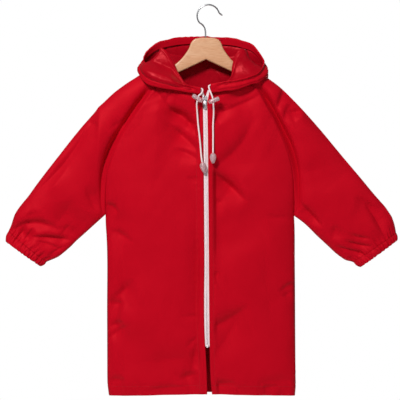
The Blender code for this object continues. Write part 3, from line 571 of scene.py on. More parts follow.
def neck_seam(side, share):
    sign = SIDES[side]
    points = along([(NECK_MIDDLE + sign * across, y, z) for across, y, z in NECK], share)
    points[..., 0] -= NECK_MIDDLE * MM * ease(share, BACK_NECK_SHARE, 1)
    return points


def raglan_seam(side, face, t):
    """The front or back raglan seam, from the neck seam at 0 to the underarm at 1."""
    rows = RAGLAN_FRONT[side]
    share = FRONT_NECK_SHARE
    if face == "back":
        share = BACK_NECK_SHARE
        lifts = np.linspace(1, 0, len(rows))
        rows = [
            (x, -BACK_SEAM_DEPTH * y, z + BACK_SEAM_RISE * lift)
            for (x, y, z), lift in zip(rows, lifts)
        ]
    start = neck_seam(side, np.array([share]))[0] / MM
    return along([tuple(start), *rows], t)


def panel_edge(side, face, v, later_rows, underarm):
    """An outer edge: the raglan seam to the underarm, then a line through later rows."""
    rows = [RAGLAN_FRONT[side][-1], *standing(later_rows)]
    return joined(partial(raglan_seam, side, face), partial(along, rows), v, underarm)


def body_edge(side, face, v):
    return panel_edge(side, face, v, SIDE_EDGE[side], UNDERARM_ON_BODY)


def sleeve_edge(side, face, v):
    return panel_edge(side, face, v, LOWER_FOLD[side], UNDERARM_ON_SLEEVE)


for side in SIDES:
    raglan = raglan_seam(side, "front", np.linspace(0, 1, 50)) / MM
    seam_length = np.linalg.norm(np.diff(raglan, axis=0), axis=1).sum()
    print(f"{side} raglan seam:", round(seam_length), "mm")


# %% [markdown]
# ## Relief: what makes cloth look like cloth
# The form of a panel is smooth.  Its relief is a height along the form's own normal: soft creases
# placed one by one, an uneven sway, and the groove and puckers that a row of stitches leaves.  The
# coated nylon is stiff for its weight, so its creases are long and shallow, and sharp only where
# the neck's weight pulls.


# %% Uneven patterns
# How high and how large, in mm: the cloth's slow sway, and the flat facets it keeps from folding
SWAY = {"front": (1.0, 55), "back": (0.6, 60), "sleeve": (0.5, 50), "hood": (0.7, 34)}
CRUMPLES = {
    "front": (1.0, 30),
    "back": (0.7, 32),
    "sleeve": (1.0, 26),
    "above the cuff": (0.9, 15),
    "hood": (0.5, 18),
    "inside the hood": (1.9, 19),
}


def wander(x, z, size, seed):
    """A soft uneven pattern of about -1 to 1, whose humps are about size across."""
    draw = np.random.default_rng(seed)
    total = np.zeros_like(x)
    for _ in range(6):
        angle, phase = draw.uniform(0, math.tau, 2)
        wave = size * draw.uniform(1.4, 3.0)
        total += np.sin((x * math.cos(angle) + z * math.sin(angle)) * math.tau / wave + phase)
    return total / 3


def crumple(x, z, size, seed):
    """Flat facets about size across, of about -1 to 1, as nylon keeps from being folded away:
    waves with straight flanks, in a few directions, each strong in some places only."""
    draw = np.random.default_rng(seed)
    total = np.zeros_like(x)
    for wave_seed in range(4):
        angle, phase = draw.uniform(0, math.tau, 2)
        wave = size * draw.uniform(1.5, 3.2)
        run = (x * math.cos(angle) + z * math.sin(angle)) / wave + phase
        run = run + 0.25 * wander(x, z, 2.5 * size, seed + 7 * wave_seed)
        flank = 4 * np.abs(run - np.floor(run + 0.5)) - 1
        total += flank * np.clip(0.5 + 0.7 * wander(x, z, 3 * size, seed + wave_seed), 0, 1)
    return total / 2


def sway(panel, x, z, seed):
    height, size = SWAY[panel]
    return height * MM * wander(x, z, size * MM, seed)


def crumples(panel, x, z, seed):
    height, size = CRUMPLES[panel]
    return height * MM * crumple(x, z, size * MM, seed)


# %% Creases and stitched lines
LONG_WALL = 3.8  # how much wider a crease's gentle wall is than its steep one


def creases(rows, x, z):
    """The height of creases, each sharp at its line and deepest half-way along it.
    Rows: start x, z, end x, z, bow, width, depth.  The steep wall, as wide as the row says, lies to
    the left of the row's run, as its bow does; a depth less than 0 makes a ridge."""
    height = np.zeros_like(x)
    for x0, z0, x1, z1, bow, width, depth in rows:
        run_x, run_z = (x1 - x0) * MM, (z1 - z0) * MM
        reach = math.hypot(run_x, run_z)
        dx, dz = x - x0 * MM, z - z0 * MM
        forward = (dx * run_x + dz * run_z) / reach**2
        inside = np.clip(forward, 0, 1)
        aside = (dz * run_x - dx * run_z) / reach - 4 * bow * MM * inside * (1 - inside)
        taper = ease(forward, -0.25, 0.4) * (1 - ease(forward, 0.6, 1.25))
        bottom = (0.4 + 0.1 * width) * MM
        away = np.sqrt(aside**2 + bottom**2) - bottom
        wall = np.where(aside > 0, 1, LONG_WALL) * width * MM * (0.3 + 0.7 * taper)
        height -= depth * MM * taper * np.exp(-((away / wall) ** 1.2))
    return height


def stitched(distance, travel, seed, depth=0.45, pitch=8.0, reach=7.0, groove=0.35):
    """The relief beside a row of stitches: a narrow groove, with uneven puckers across it."""
    pucker = wander(travel, np.zeros_like(travel), pitch * MM / 2, seed)
    fade = np.exp(-np.abs(distance) / (reach * MM))
    return (depth * pucker * fade - groove * hump(distance, 1.7 * MM)) * MM


# %% Raised surfaces
def raised(form, relief, outward):
    """The surface form(u, v), raised by relief(u, v, points) along its normal."""
    step = 0.0015

    def surface(u, v):
        points = form(u, v)
        across = form(np.minimum(u + step, 1), v) - form(np.maximum(u - step, 0), v)
        down = form(u, np.minimum(v + step, 1)) - form(u, np.maximum(v - step, 0))
        normal = unit(np.cross(across, down)) * outward
        return points + normal * relief(u, v, points)[..., None]

    return surface


def to_neck(form, seam, u, v, reach):
    """The surface form(u, v), bent over its first rows to start on its stretch of the neck seam."""
    fade = (1 - ease(v, 0, reach))[..., None]
    return form(u, v) + (seam - form(u, np.zeros_like(v))) * fade


def steps(*stops):
    """Values at whole counts, from stops of (count, value), evenly spaced between two stops."""
    counts, values = zip(*stops)
    return np.interp(np.arange(counts[-1] + 1), counts, values)


print("steps to 1:", steps((0, 0), (2, 0.5), (4, 1)))


# %% [markdown]
# ## Coated nylon
# The face is a plain taffeta of nylon, dyed red and rolled flat, so it is smooth with a soft
# gloss.  The inside has a film of polyurethane, which is glossier and a little deeper in colour.
# Solidify gives the inner wall its own material slot, so each side gets its own finish.


# %% Coated nylon, face and coated side
THREAD_SPACING = 0.8  # real threads lie 0.1 mm apart: drawn coarser, or nothing would show
BANDS_IN_WAVE = 3.2  # a wave texture draws about this many bands across its unit
CRINKLE = 11.0
MOTTLE = 70


def coated_nylon(name, colours, gloss, crinkle_depth, weave_depth):
    """One side of the cloth: its two tints, its gloss as roughness, strength and tint, and how deep
    its crinkles and threads are, in mm.  Light that glances off the threads has gone through their
    dye, so the gloss is red too."""
    roughness, specular, tint = gloss
    made, tree, shader = new_material(
        name, Roughness=roughness, Specular_IOR_Level=specular, Specular_Tint=linear(tint)
    )
    place = add_node(tree, "ShaderNodeTexCoord")
    shade = add_node(
        tree,
        "ShaderNodeTexNoise",
        inputs={"Vector": place.outputs["Object"], "Scale": pattern_size(MOTTLE), "Detail": 3},
    )
    tint = add_node(tree, "ShaderNodeMix", {"data_type": "RGBA"}, {"Factor": shade.outputs["Fac"]})
    tint.inputs["A"].default_value = linear(colours[0])
    tint.inputs["B"].default_value = linear(colours[1])
    tree.links.new(tint.outputs["Result"], shader.inputs["Base Color"])
    cut = add_node(tree, "ShaderNodeUVMap", {"uv_map": "cut"})
    threads = []
    for direction in "XY":
        threads.append(
            add_node(
                tree,
                "ShaderNodeTexWave",
                {"wave_type": "BANDS", "bands_direction": direction},
                {
                    "Vector": cut.outputs["UV"],
                    "Scale": pattern_size(THREAD_SPACING) / BANDS_IN_WAVE,
                },
            )
        )
    weave = add_node(
        tree,
        "ShaderNodeMath",
        {"operation": "MAXIMUM"},
        {0: threads[0].outputs["Fac"], 1: threads[1].outputs["Fac"]},
    )
    fine = add_node(
        tree,
        "ShaderNodeBump",
        inputs={"Height": weave.outputs["Value"], "Strength": 1.0, "Distance": weave_depth * MM},
    )
    crinkle = add_node(
        tree,
        "ShaderNodeTexNoise",
        inputs={
            "Vector": place.outputs["Object"],
            "Scale": pattern_size(CRINKLE),
            "Detail": 2,
            "Distortion": 0.6,
        },
    )
    bump = add_node(
        tree,
        "ShaderNodeBump",
        inputs={
            "Height": crinkle.outputs["Fac"],
            "Strength": 1.0,
            "Distance": crinkle_depth * MM,
            "Normal": fine.outputs["Normal"],
        },
    )
    tree.links.new(bump.outputs["Normal"], shader.inputs["Normal"])
    return made


face_cloth = coated_nylon(
    "coated_nylon_face", ("#c60920", "#bc071c"), (0.5, 0.38, "#ff4048"), 0.12, 0.01
)
inner_cloth = coated_nylon(
    "coated_nylon_inside", ("#b6061b", "#a20418"), (0.36, 0.36, "#ff6068"), 0.8, 0.008
)
thread = new_material("polyester_thread", Base_Color=linear("#a80518"), Roughness=0.6)[0]
print("finishes:", face_cloth.name, inner_cloth.name, thread.name)


# %% A panel of cloth
CLOTH = 0.5 * MM


def cloth(name, surface, across, down, cut, nodes, flip=False, weld=None):
    """A sewn panel: cut is its flat width, length and area, whose area is not used, and nodes are
    what it replaces.
    """
    width, length, area = cut
    made = mapped_grid(name, across, down, surface, (width, length), flip, weld)
    dressed(made, face_cloth, stands_for=nodes)
    made.data.materials.append(inner_cloth)
    wall = made.modifiers.new("wall", "SOLIDIFY")
    wall.thickness = CLOTH
    wall.offset = 0
    wall.use_even_offset = False
    wall.material_offset = 1
    print(name, len(made.data.polygons), "faces")
    return made


# %% [markdown]
# ## Fronts
# Each front runs from the zip to its raglan and side seams.  The neck's weight pulls creases from
# the raglan's top to the zip.  A facing is stitched down beside the zip, and the hem is turned up
# 19 mm and stitched.

# %% Creases of the fronts and the back
# start x, z, end x, z, bow, width, depth
FRONT_CREASES = {
    "left": [
        (-108, -182, -86, -223, -2, 6, 6.8),
        (-88, -217, -75, -188, 2, 5, 5.4),
        (-66, -226, -64, -188, 0, 5, 2.7),
        (-88, -223, -18, -283, 6, 13, 20.4),
        (-81, -230, -31, -256, 4, 4, 7.6),
        (-79, -267, -15, -322, 2, 9, 15.3),
        (-66, -318, -13, -342, 3, 5, 6.8),
        (-42, -252, -20, -261, -2, 3, 4.1),
        (-40, -380, -13, -382, 0, 3, 2.7),
        (-132, -454, -106, -248, -6, 26, -4.5),
        (-123, -428, -57, -318, 8, 36, 5.6),
        (-220, -437, -194, -452, 2, 6, 6.8),
        (-207, -507, -196, -454, 0, 9, 4.2),
        (-207, -496, -167, -516, 2, 6, 6.1),
        (-180, -648, -191, -512, -4, 14, 6.8),
        (-207, -644, -165, -606, -3, 9, 8.8),
        (-216, -654, -185, -657, 1, 9, 11.9),
        (-213, -703, -183, -698, 1, 6, 7.8),
        (-216, -729, -172, -703, 1, 4, 5.4),
        (-211, -824, -180, -822, 1, 8, 7.8),
        (-180, -815, -174, -714, 0, 18, 4.5),
        (-18, -747, -20, -490, 0, 16, 7),
        (-15, -666, -15, -498, 0, 3, 3.7),
        (-53, -681, -18, -681, 0, 2, 2),
        (-44, -749, -20, -727, 0, 3, 3.1),
        (-31, -806, -22, -749, 0, 8, 7.6),
        (-53, -817, -20, -809, 0, 10, 11),
        (-123, -782, -35, -773, 0, 20, 5.9),
        (-123, -842, -53, -837, 0, 6, 4.1),
        (-55, -831, -68, -804, 0, 3, 2.4),
    ],
    "right": [
        (18, -228, 48, -221, 0, 4, 4.1),
        (18, -239, 114, -199, -4, 6, 5.8),
        (51, -201, 106, -186, -2, 10, 7.6),
        (29, -261, 18, -243, 0, 4, 3.4),
        (18, -355, 101, -261, -12, 16, 11.2),
        (9, -366, 79, -421, 2, 12, 18.7),
        (35, -380, 66, -406, 0, 5, 5.1),
        (70, -415, 128, -516, 5, 22, 8.4),
        (13, -435, 35, -430, 0, 6, 3.4),
        (136, -461, 172, -468, -1, 3, 2),
        (35, -564, 18, -437, -3, 16, 4.8),
        (11, -595, 29, -586, 0, 6, 4.4),
        (11, -707, 81, -668, -3, 11, 11),
        (20, -762, 70, -688, -4, 14, 5.4),
        (165, -626, 194, -610, 0, 5, 4.8),
        (169, -639, 189, -630, 0, 3, 2.4),
        (150, -714, 132, -542, 4, 20, 3.4),
        (7, -835, 57, -828, 1, 9, 8.2),
        (119, -828, 189, -824, 2, 12, 5.1),
        (81, -853, 55, -826, 0, 3, 2.4),
        (123, -839, 154, -835, 0, 4, 3.1),
    ],
}
BACK_CREASES = [
    (40, -172, 24, -141, 0, 3.8, 2.2),
    (58, -166, 42, -141, 0, 3.8, 2.1),
    (-30, -141, -46, -176, 0, 4.5, 1.8),
    (-96, -168, -20, -262, -5, 15, 3.5),
    (88, -170, 14, -250, 5, 13.5, 2.9),
    (-60, -300, 30, -330, 6, 21, 1.8),
    (-150, -300, -90, -400, -6, 22.5, 2.7),
    (140, -310, 80, -420, 7, 22.5, 2.7),
    (-130, -450, -120, -760, 8, 42, 3.2),
    (20, -430, 12, -800, -8, 45, 2.7),
    (120, -480, 128, -790, -6, 39, 2.9),
    (-200, -560, -160, -600, 3, 12, 1.2),
    (186, -540, 150, -590, -3, 12, 1.2),
]
print("creases:", {side: len(rows) for side, rows in FRONT_CREASES.items()}, len(BACK_CREASES))


# %% Form of the fronts
SQUARE = 0.8  # how a panel's section runs across: 1 makes it an ellipse, and less is squarer
NECK_BEND = 0.12  # the share of a body panel that bends to the neck seam


def edge_power(v):
    """How the body's section meets its edge: 1 is an ellipse's end, and more is flatter."""
    return 1.9 - 0.75 * ease(v, 0.15, UNDERARM_ON_BODY) - 0.35 * ease(v, UNDERARM_ON_BODY, 0.6)


def front_form(side, u, v):
    angle = u * math.pi / 2
    share, lift = np.sin(angle) ** SQUARE, np.abs(np.cos(angle)) ** edge_power(v)
    outer = body_edge(side, "front", v)
    z = (OPENING[0][0] + (HEM_Z - OPENING[0][0]) * v) * MM
    middle, half = column(OPENING, z / MM, 1), column(OPENING, z / MM, 2)
    inner = np.stack([middle + SIDES[side] * half, 0 * z, z], axis=-1)
    points = inner + (outer - inner) * share[..., None]
    points[..., 1] = outer[..., 1] * (1 - lift) - column(FULLNESS, z / MM, 1) * lift
    return points


def front_panel(side, u, v):
    seam = neck_seam(side, u * FRONT_NECK_SHARE)
    return to_neck(partial(front_form, side), seam, u, v, NECK_BEND)


# %% Relief of the fronts
HEM_DEPTH = 19
FACING = {"left": 16, "right": 10}  # from the opening to the facing's stitches
DROP = 0.55  # hanging cloth sways in long humps, so heights count this much beside widths


def on_the_chest(z):
    """How strong the crumples are: most above the middle, where the neck's weight pulls."""
    return 0.5 + 0.6 * ease(z, -0.45, -0.3)


def hem_relief(x, z, v, seed):
    """The turned-up hem: its stitches, and a gentle wave along its edge."""
    height = stitched(z - (HEM_Z + HEM_DEPTH) * MM, x, seed, depth=0.55, pitch=12, reach=9)
    wave = wander(x, 0 * x, 26 * MM, seed + 1) * 1.3 * MM * ease(v, 0.93, 1)
    rolled_in = 3.4 * MM * ease(v, 0.955, 1.02)
    return height * ease(v, 0.9, 0.93) + wave - rolled_in


def seam_relief(points, edge, v, seed, underarm):
    """Beside a raglan or side seam: the panel's swell over the sleeve, and puckers."""
    away = np.linalg.norm(points - edge, axis=-1)
    above = ease(v, 0.03, 0.1) * (1 - ease(v, underarm - 0.06, underarm + 0.02))
    ridge = above * 1.2 * MM * np.exp(-away / (20 * MM)) * ease(away, 0, 4 * MM)
    pucker = wander(points[..., 2], 0 * away, 6 * MM, seed)
    strength = 0.35 + 0.5 * ease(v, underarm - 0.1, underarm + 0.03)
    return ridge + strength * MM * pucker * np.exp(-away / (7 * MM)) * ease(away, 0, 1.5 * MM)


def front_relief(side, u, v, points):
    x, z = points[..., 0], points[..., 2]
    sign = SIDES[side]
    seed = 11 + sign
    middle, half = column(OPENING, z / MM, 1), column(OPENING, z / MM, 2)
    from_opening = sign * (x - middle) - half
    calm = ease(from_opening, 8 * MM, 18 * MM) * (1 - ease(u, 0.93, 1)) * ease(v, 0, 0.04)
    height = calm * creases(FRONT_CREASES[side], x, z)
    height += calm * sway("front", x, z * DROP, seed)
    height += calm * on_the_chest(z) * crumples("front", x, z, 5)
    facing = from_opening - FACING[side] * MM
    height += stitched(facing, z, seed + 20) * ease(v, 0, 0.03)
    height += 0.25 * MM * hump(from_opening - 2 * MM, 2.5 * MM)
    height += seam_relief(points, body_edge(side, "front", v), v, seed + 40, UNDERARM_ON_BODY)
    return height + hem_relief(x, z, v, seed + 60)


# %% Fronts
FRONT_CUT = (0.245, 0.700, 0.140)
surfaces = {}
body_rows = steps((0, 0), (24, 0.08), (110, 0.5), (200, 0.955), (222, 1))
for side, sign in SIDES.items():
    surfaces["front", side] = raised(partial(front_panel, side), partial(front_relief, side), -sign)
    evenly = steps((0, 0), (16, 0.13), (66, 0.86), (92, 1))
    cloth(
        f"front_cloth_{side}",
        surfaces["front", side],
        2 / math.pi * np.arcsin(evenly ** (1 / SQUARE)),
        body_rows,
        FRONT_CUT,
        [f"front_{side}"],
        flip=sign > 0,
    )

# %% [markdown]
# ## Back
# The back is cut in one piece.  Like the fronts it hangs from the neck and shoulders, so its
# creases run down from there, and the hem's stitches go on round.


# %% Back
def back_form(u, v):
    angle = (u - 0.5) * math.pi
    across = np.sign(angle) * np.abs(np.sin(angle)) ** SQUARE
    share, lift = 0.5 + 0.5 * across, np.abs(np.cos(angle)) ** edge_power(v)
    left, right = body_edge("left", "back", v), body_edge("right", "back", v)
    points = left + (right - left) * share[..., None]
    points[..., 1] += (column(FULLNESS, points[..., 2] / MM, 2) - points[..., 1]) * lift
    points[..., 2] += (HEM_Z - HEM_CORNER_Z) * MM * lift * ease(v, 0.6, 1)
    return points


def back_panel(u, v):
    share = 1 - np.abs(2 * u - 1) * (1 - BACK_NECK_SHARE)
    seam = np.where((u < 0.5)[..., None], neck_seam("left", share), neck_seam("right", share))
    return to_neck(back_form, seam, u, v, NECK_BEND)


def back_relief(u, v, points):
    x, z = points[..., 0], points[..., 2]
    calm = ease(u, 0, 0.05) * (1 - ease(u, 0.95, 1)) * ease(v, 0, 0.015)
    height = calm * creases(BACK_CREASES, x, z)
    height += calm * sway("back", x, z * DROP, 31)
    height += calm * on_the_chest(z) * crumples("back", x, z, 32)
    left, right = body_edge("left", "back", v), body_edge("right", "back", v)
    nearer = np.where((u < 0.5)[..., None], left, right)
    height += seam_relief(points, nearer, v, 33, UNDERARM_ON_BODY)
    return height + hem_relief(x, z, v, 34)


BACK_CUT = (0.445, 0.750, 0.285)
surfaces["back"] = raised(back_panel, back_relief, 1)
halfway = 2 / math.pi * np.arcsin(steps((0, 0), (50, 0.82), (74, 1)) ** (1 / SQUARE)) / 2
cloth(
    "back_cloth",
    surfaces["back"],
    np.concatenate([0.5 - halfway[::-1], 0.5 + halfway[1:]]),
    body_rows,
    BACK_CUT,
    ["back_panel"],
)

# %% [markdown]
# ## Sleeves
# A raglan sleeve is one piece, folded over the arm and sewn underneath.  Hung up, it falls in
# behind the body at its seam, blouses above the cuff, and gathers where the elastic pulls.

# %% Creases of the sleeves
SLEEVE_CREASES = {
    ("left", "front"): [
        (-238, -358, -235, -217, -3, 8.5, -5.3),
        (-257, -254, -238, -270, 2, 3.1, 2.9),
        (-359, -397, -268, -280, -5, 6.8, 7.5),
        (-343, -410, -308, -362, -2, 6.8, -4.1),
        (-332, -490, -295, -437, 0, 20.4, 8.5),
        (-317, -507, -299, -485, 0, 8.5, 6.3),
        (-240, -454, -262, -406, 0, 6.8, 6.3),
        (-429, -494, -326, -492, 16, 6.8, 13.3),
        (-372, -509, -293, -518, 2, 5.1, 12.8),
        (-365, -520, -319, -536, 1, 2.5, 4.6),
        (-343, -549, -306, -529, 0, 3.4, 5.3),
        (-400, -516, -381, -492, 0, 4.2, 7),
        (-420, -516, -400, -487, -1, 5.1, 8.7),
        (-392, -463, -370, -457, 1, 3.4, 3.4),
        (-207, -270, -180, -256, 0, 8.5, 4.6),
    ],
    ("right", "front"): [
        (154, -230, 172, -182, -2, 5.1, 8.2),
        (172, -252, 189, -215, 2, 6, 7.5),
        (183, -234, 209, -230, 0, 4.2, 5.3),
        (198, -256, 213, -237, 0, 6.8, -4.6),
        (209, -437, 249, -481, -1, 6, 9.2),
        (332, -424, 370, -443, -2, 6.8, 5.8),
        (385, -494, 356, -441, -2, 6.8, 10.4),
        (306, -518, 356, -529, -2, 4.2, 9.2),
        (317, -505, 356, -512, -1, 3.4, 5.8),
        (312, -538, 348, -549, 0, 4.2, 7.5),
        (284, -531, 317, -538, 0, 3.4, 4.6),
        (277, -512, 286, -485, 0, 6.8, 4.6),
        (255, -406, 233, -340, 4, 30.6, 4.8),
    ],
    ("left", "back"): [
        (-214, -232, -196, -350, -14, 27.2, 4.1),
        (-410, -470, -340, -494, -7, 14.4, 4.7),
        (-366, -510, -306, -516, 4, 12.8, 4.4),
        (-290, -446, -296, -484, -4, 19.2, 3.2),
        (-310, -330, -270, -420, -8, 38.4, 2.4),
    ],
    ("right", "back"): [
        (186, -240, 186, -346, 10, 25.6, 4.1),
        (392, -480, 322, -486, 6, 14.4, 4.7),
        (352, -514, 296, -520, -4, 11.2, 4.1),
        (240, -452, 262, -484, 3, 12.8, 3.2),
        (262, -330, 272, -424, 8, 38.4, 2.4),
    ],
}
print("sleeve creases:", sum(len(rows) for rows in SLEEVE_CREASES.values()))

# %% Gathers and pleats at the cuff
CUFF_GATHERS = 29
LONG_PLEATS = 17
GATHER_HEIGHT = 1.9


def gathers(side, u, count=CUFF_GATHERS, seed=0):
    """Uneven pleats round a cuff, about -1 to 1: round on top, and sharp where the thread pulls."""
    shift = seed + (0.0 if side == "left" else 1.9)
    turn = math.tau * u
    uneven = np.sin(3 * turn + shift) + 0.6 * np.sin(7 * turn + 2 + shift) + 0.4 * np.sin(11 * turn)
    size = 0.75 + 0.35 * np.sin(5 * turn + 1 + 4 * shift) * np.sin(2 * turn + shift)
    return (1.7 * np.abs(np.sin(math.pi * count * u + 0.9 * uneven)) - 1.1) * size


def long_pleats(side, u, v):
    """Creases that run up the sleeve from the cuff's thread, each of its own length."""
    draw = np.random.default_rng(81 if side == "left" else 82)
    height = np.zeros_like(u)
    for pleat in range(LONG_PLEATS):
        place = (pleat + draw.uniform(0.1, 0.9)) / LONG_PLEATS
        reach, depth = draw.uniform(0.05, 0.15), draw.uniform(1.2, 3.0)
        lean = draw.uniform(-0.25, 0.25)
        away = (u - place - lean * (1 - v) + 0.5) % 1 - 0.5
        width = 0.010 + 0.09 * (1 - v)
        height -= depth * np.exp(-np.abs(away) / width) * ease(v, 1 - reach, 1 - 0.2 * reach)
    return height


# %% Form of a sleeve
SHOULDER_BEND = 0.2  # the share of a sleeve that bends to the neck seam


def sleeve_form(side, u, v):
    """The sleeve's tube: its columns crowd at the folds, and not at the raglan seams."""
    front = u <= 0.5
    half_turn = np.where(front, u, 1 - u) * 2
    closed = ease(v, UNDERARM_ON_SLEEVE - 0.25, UNDERARM_ON_SLEEVE + 0.02)
    open_share = np.sin(half_turn * math.pi / 2)
    closed_share = (1 - np.cos(half_turn * math.pi)) / 2
    share = open_share + (closed_share - open_share) * closed
    edge = np.where(front[..., None], sleeve_edge(side, "front", v), sleeve_edge(side, "back", v))
    top = neck_seam(side, np.array([SHOULDER_NECK_SHARE]))[0] / MM
    fold = along([tuple(top), *standing(UPPER_FOLD[side])], v)
    points = edge + (fold - edge) * share[..., None]
    points[..., 1] = edge[..., 1] * np.sqrt(np.clip(1 - share**2, 0, 1))
    swell = (4 * share * (1 - share)).clip(0, 1) ** (1 - 0.55 * closed)
    points[..., 1] += np.where(front, -1, 1) * column(SLEEVE_DEPTH, v, 1) * swell
    return points


def sleeve_tube(side, u, v):
    """A sleeve: u goes from the front inner edge over the upper fold to the back inner edge."""
    front = u <= 0.5
    share = np.sin(np.where(front, u, 1 - u) * math.pi)
    start = np.where(front, FRONT_NECK_SHARE, BACK_NECK_SHARE)
    seam = neck_seam(side, start + (SHOULDER_NECK_SHARE - start) * share)
    return to_neck(partial(sleeve_form, side), seam, u, v, SHOULDER_BEND)


# %% Relief of a sleeve
VALLEY = {"left": (14, 60), "right": (15, 26)}  # beside the body: how deep and how wide, in mm
VALLEY_LINE, VALLEY_FLOOR = 8, 10  # from the seam to its deepest line, and how wide its floor is
VALLEY_ROOM = {"front": 0.8, "back": 0.35}  # the share of the seam's depth that it may take
PUFF = 3.0  # how far the sleeve blouses above its cuff


def sleeve_relief(side, u, v, points):
    x, z = points[..., 0], points[..., 2]
    front = u <= 0.5
    seed = 51 + SIDES[side]
    edges = [sleeve_edge(side, face, v) for face in ("front", "back")]
    edge = np.where(front[..., None], edges[0], edges[1])
    away = np.linalg.norm(points - edge, axis=-1)
    half_turn = np.where(front, u, 1 - u) * 2
    calm = ease(half_turn, 0.04, 0.25) * (1 - ease(half_turn, 0.9, 1)) * ease(v, 0, 0.1)
    rows = np.where(
        front,
        creases(SLEEVE_CREASES[side, "front"], x, z),
        creases(SLEEVE_CREASES[side, "back"], x, z),
    )
    height = calm * (rows + sway("sleeve", x, z, seed))
    near_shoulder = 0.5 + 0.4 * (1 - ease(v, 0.25, 0.5))
    height += calm * near_shoulder * crumples("sleeve", x, z, seed + 3)
    underarm = ease(v, UNDERARM_ON_SLEEVE - 0.03, UNDERARM_ON_SLEEVE + 0.05)
    above = ease(v, 0.03, 0.12) * (1 - underarm)
    drop, breadth = VALLEY[side]
    room = np.where(front, VALLEY_ROOM["front"], VALLEY_ROOM["back"])
    room = room * np.abs(edge[..., 1]) / MM + 2
    valley = np.minimum(drop, room) * hump(away - VALLEY_LINE * MM, VALLEY_FLOOR * MM)
    valley += 0.4 * drop * hump(away, breadth * MM) * ease(away, 0, 12 * MM)
    height -= above * valley * MM * ease(away, 0, 2.0 * MM)
    height += ease(v, 0.80, 0.92) * (1 - ease(v, 0.9, 1)) * PUFF * MM
    height += ease(v, 0.78, 0.92) * crumples("above the cuff", x, z, seed + 9)
    pleats = gathers(side, u) * GATHER_HEIGHT * ease(v, 0.95, 1) + long_pleats(side, u, v)
    return height + pleats * MM


def sleeve_weld(u, v):
    return goes_round(u, v) & (v >= UNDERARM_ON_SLEEVE - 1e-6)


# %% Sleeves
SLEEVE_CUT = (0.420, 0.560, 0.118)
above_underarm = np.linspace(0, UNDERARM_ON_SLEEVE, 81)
below_underarm = steps((0, UNDERARM_ON_SLEEVE), (30, 0.9), (52, 1))
sleeve_rows = np.concatenate([above_underarm, below_underarm[1:]])
for side, sign in SIDES.items():
    surfaces["sleeve", side] = raised(partial(sleeve_tube, side), partial(sleeve_relief, side), -sign)
    cloth(
        f"sleeve_cloth_{side}",
        surfaces["sleeve", side],
        np.linspace(0, 1, 241),
        sleeve_rows,
        SLEEVE_CUT,
        [f"sleeve_{side}_front", f"sleeve_{side}_back"],
        flip=sign > 0,
        weld=sleeve_weld,
    )

# %% [markdown]
# ## Cuffs
# The cuff is a casing of the sleeve's own cloth, folded over a flat elastic 20 mm wide.  The
# elastic is shorter than the cloth, so the casing stands in small uneven pleats.


# %% Form of a cuff
CUFF_BELLY = 2.2  # how far the elastic stands out between the casing's two stitched lines


def cuff_centre(side, v):
    """The middle of the cuff's section at v."""
    upper_x, upper_z, lower_x, lower_z = (size * MM for size in CUFF_EDGE[side])
    end = np.array([(upper_x + lower_x) / 2, 0, (upper_z + lower_z) / 2])
    fold_x, fold_z = UPPER_FOLD[side][-1]
    under_x, under_z = LOWER_FOLD[side][-1]
    start = np.array([(fold_x + under_x) / 2, 0, (fold_z + under_z) / 2]) * MM
    return start + (end - start) * v[..., None]


def cuff_tube(side, u, v):
    start = surfaces["sleeve", side](u, np.ones_like(u))
    upper_x, upper_z, lower_x, lower_z = (size * MM for size in CUFF_EDGE[side])
    turn = math.tau * u
    share = (1 - np.cos(turn)) / 2
    depth = SLEEVE_DEPTH[-1][1] * MM * np.abs(np.sin(turn)) ** 0.8
    outward = np.where(u <= 0.5, -1.0, 1.0)
    end_x = lower_x + (upper_x - lower_x) * share
    end_z = lower_z + (upper_z - lower_z) * share
    end = np.stack([end_x, outward * depth, end_z], axis=-1)
    ring = start + (end - start) * v[..., None]
    away = unit(ring - cuff_centre(side, v))
    pleats = gathers(side, u, CUFF_GATHERS + 4, 2.3) * GATHER_HEIGHT * ease(v, 0.1, 0.5)
    belly = CUFF_BELLY * np.sin(math.pi * np.clip(v, 0, 1)) ** 0.7
    frill = unit(end - start) * (gathers(side, u, CUFF_GATHERS, 0.7) * 0.9 * MM * v)[..., None]
    return ring + away * ((pleats + belly) * MM)[..., None] + frill


# %% Cuffs
CUFF_CUT = (0.240, 0.024, None)
for side, sign in SIDES.items():
    surfaces["cuff", side] = partial(cuff_tube, side)
    cloth(
        f"cuff_cloth_{side}",
        surfaces["cuff", side],
        np.linspace(0, 1, 361),
        np.linspace(0, 1, 21),
        CUFF_CUT,
        [f"cuff_{side}"],
        flip=sign > 0,
        weld=goes_round,
    )

# %% [markdown]
# ## Hood
# The hood lies folded back on itself.  From the neck seam it stands up to a crest, drops inside
# its outer layer to a low fold, and comes up again to the face edge, which is turned in round the
# drawcord.  Seven short Bezier spans make that section at each station along the neck seam.
# Folded like this the hood shows its inside, so the coated side of the cloth lies round the neck
# and the dull face shows on the band in front.

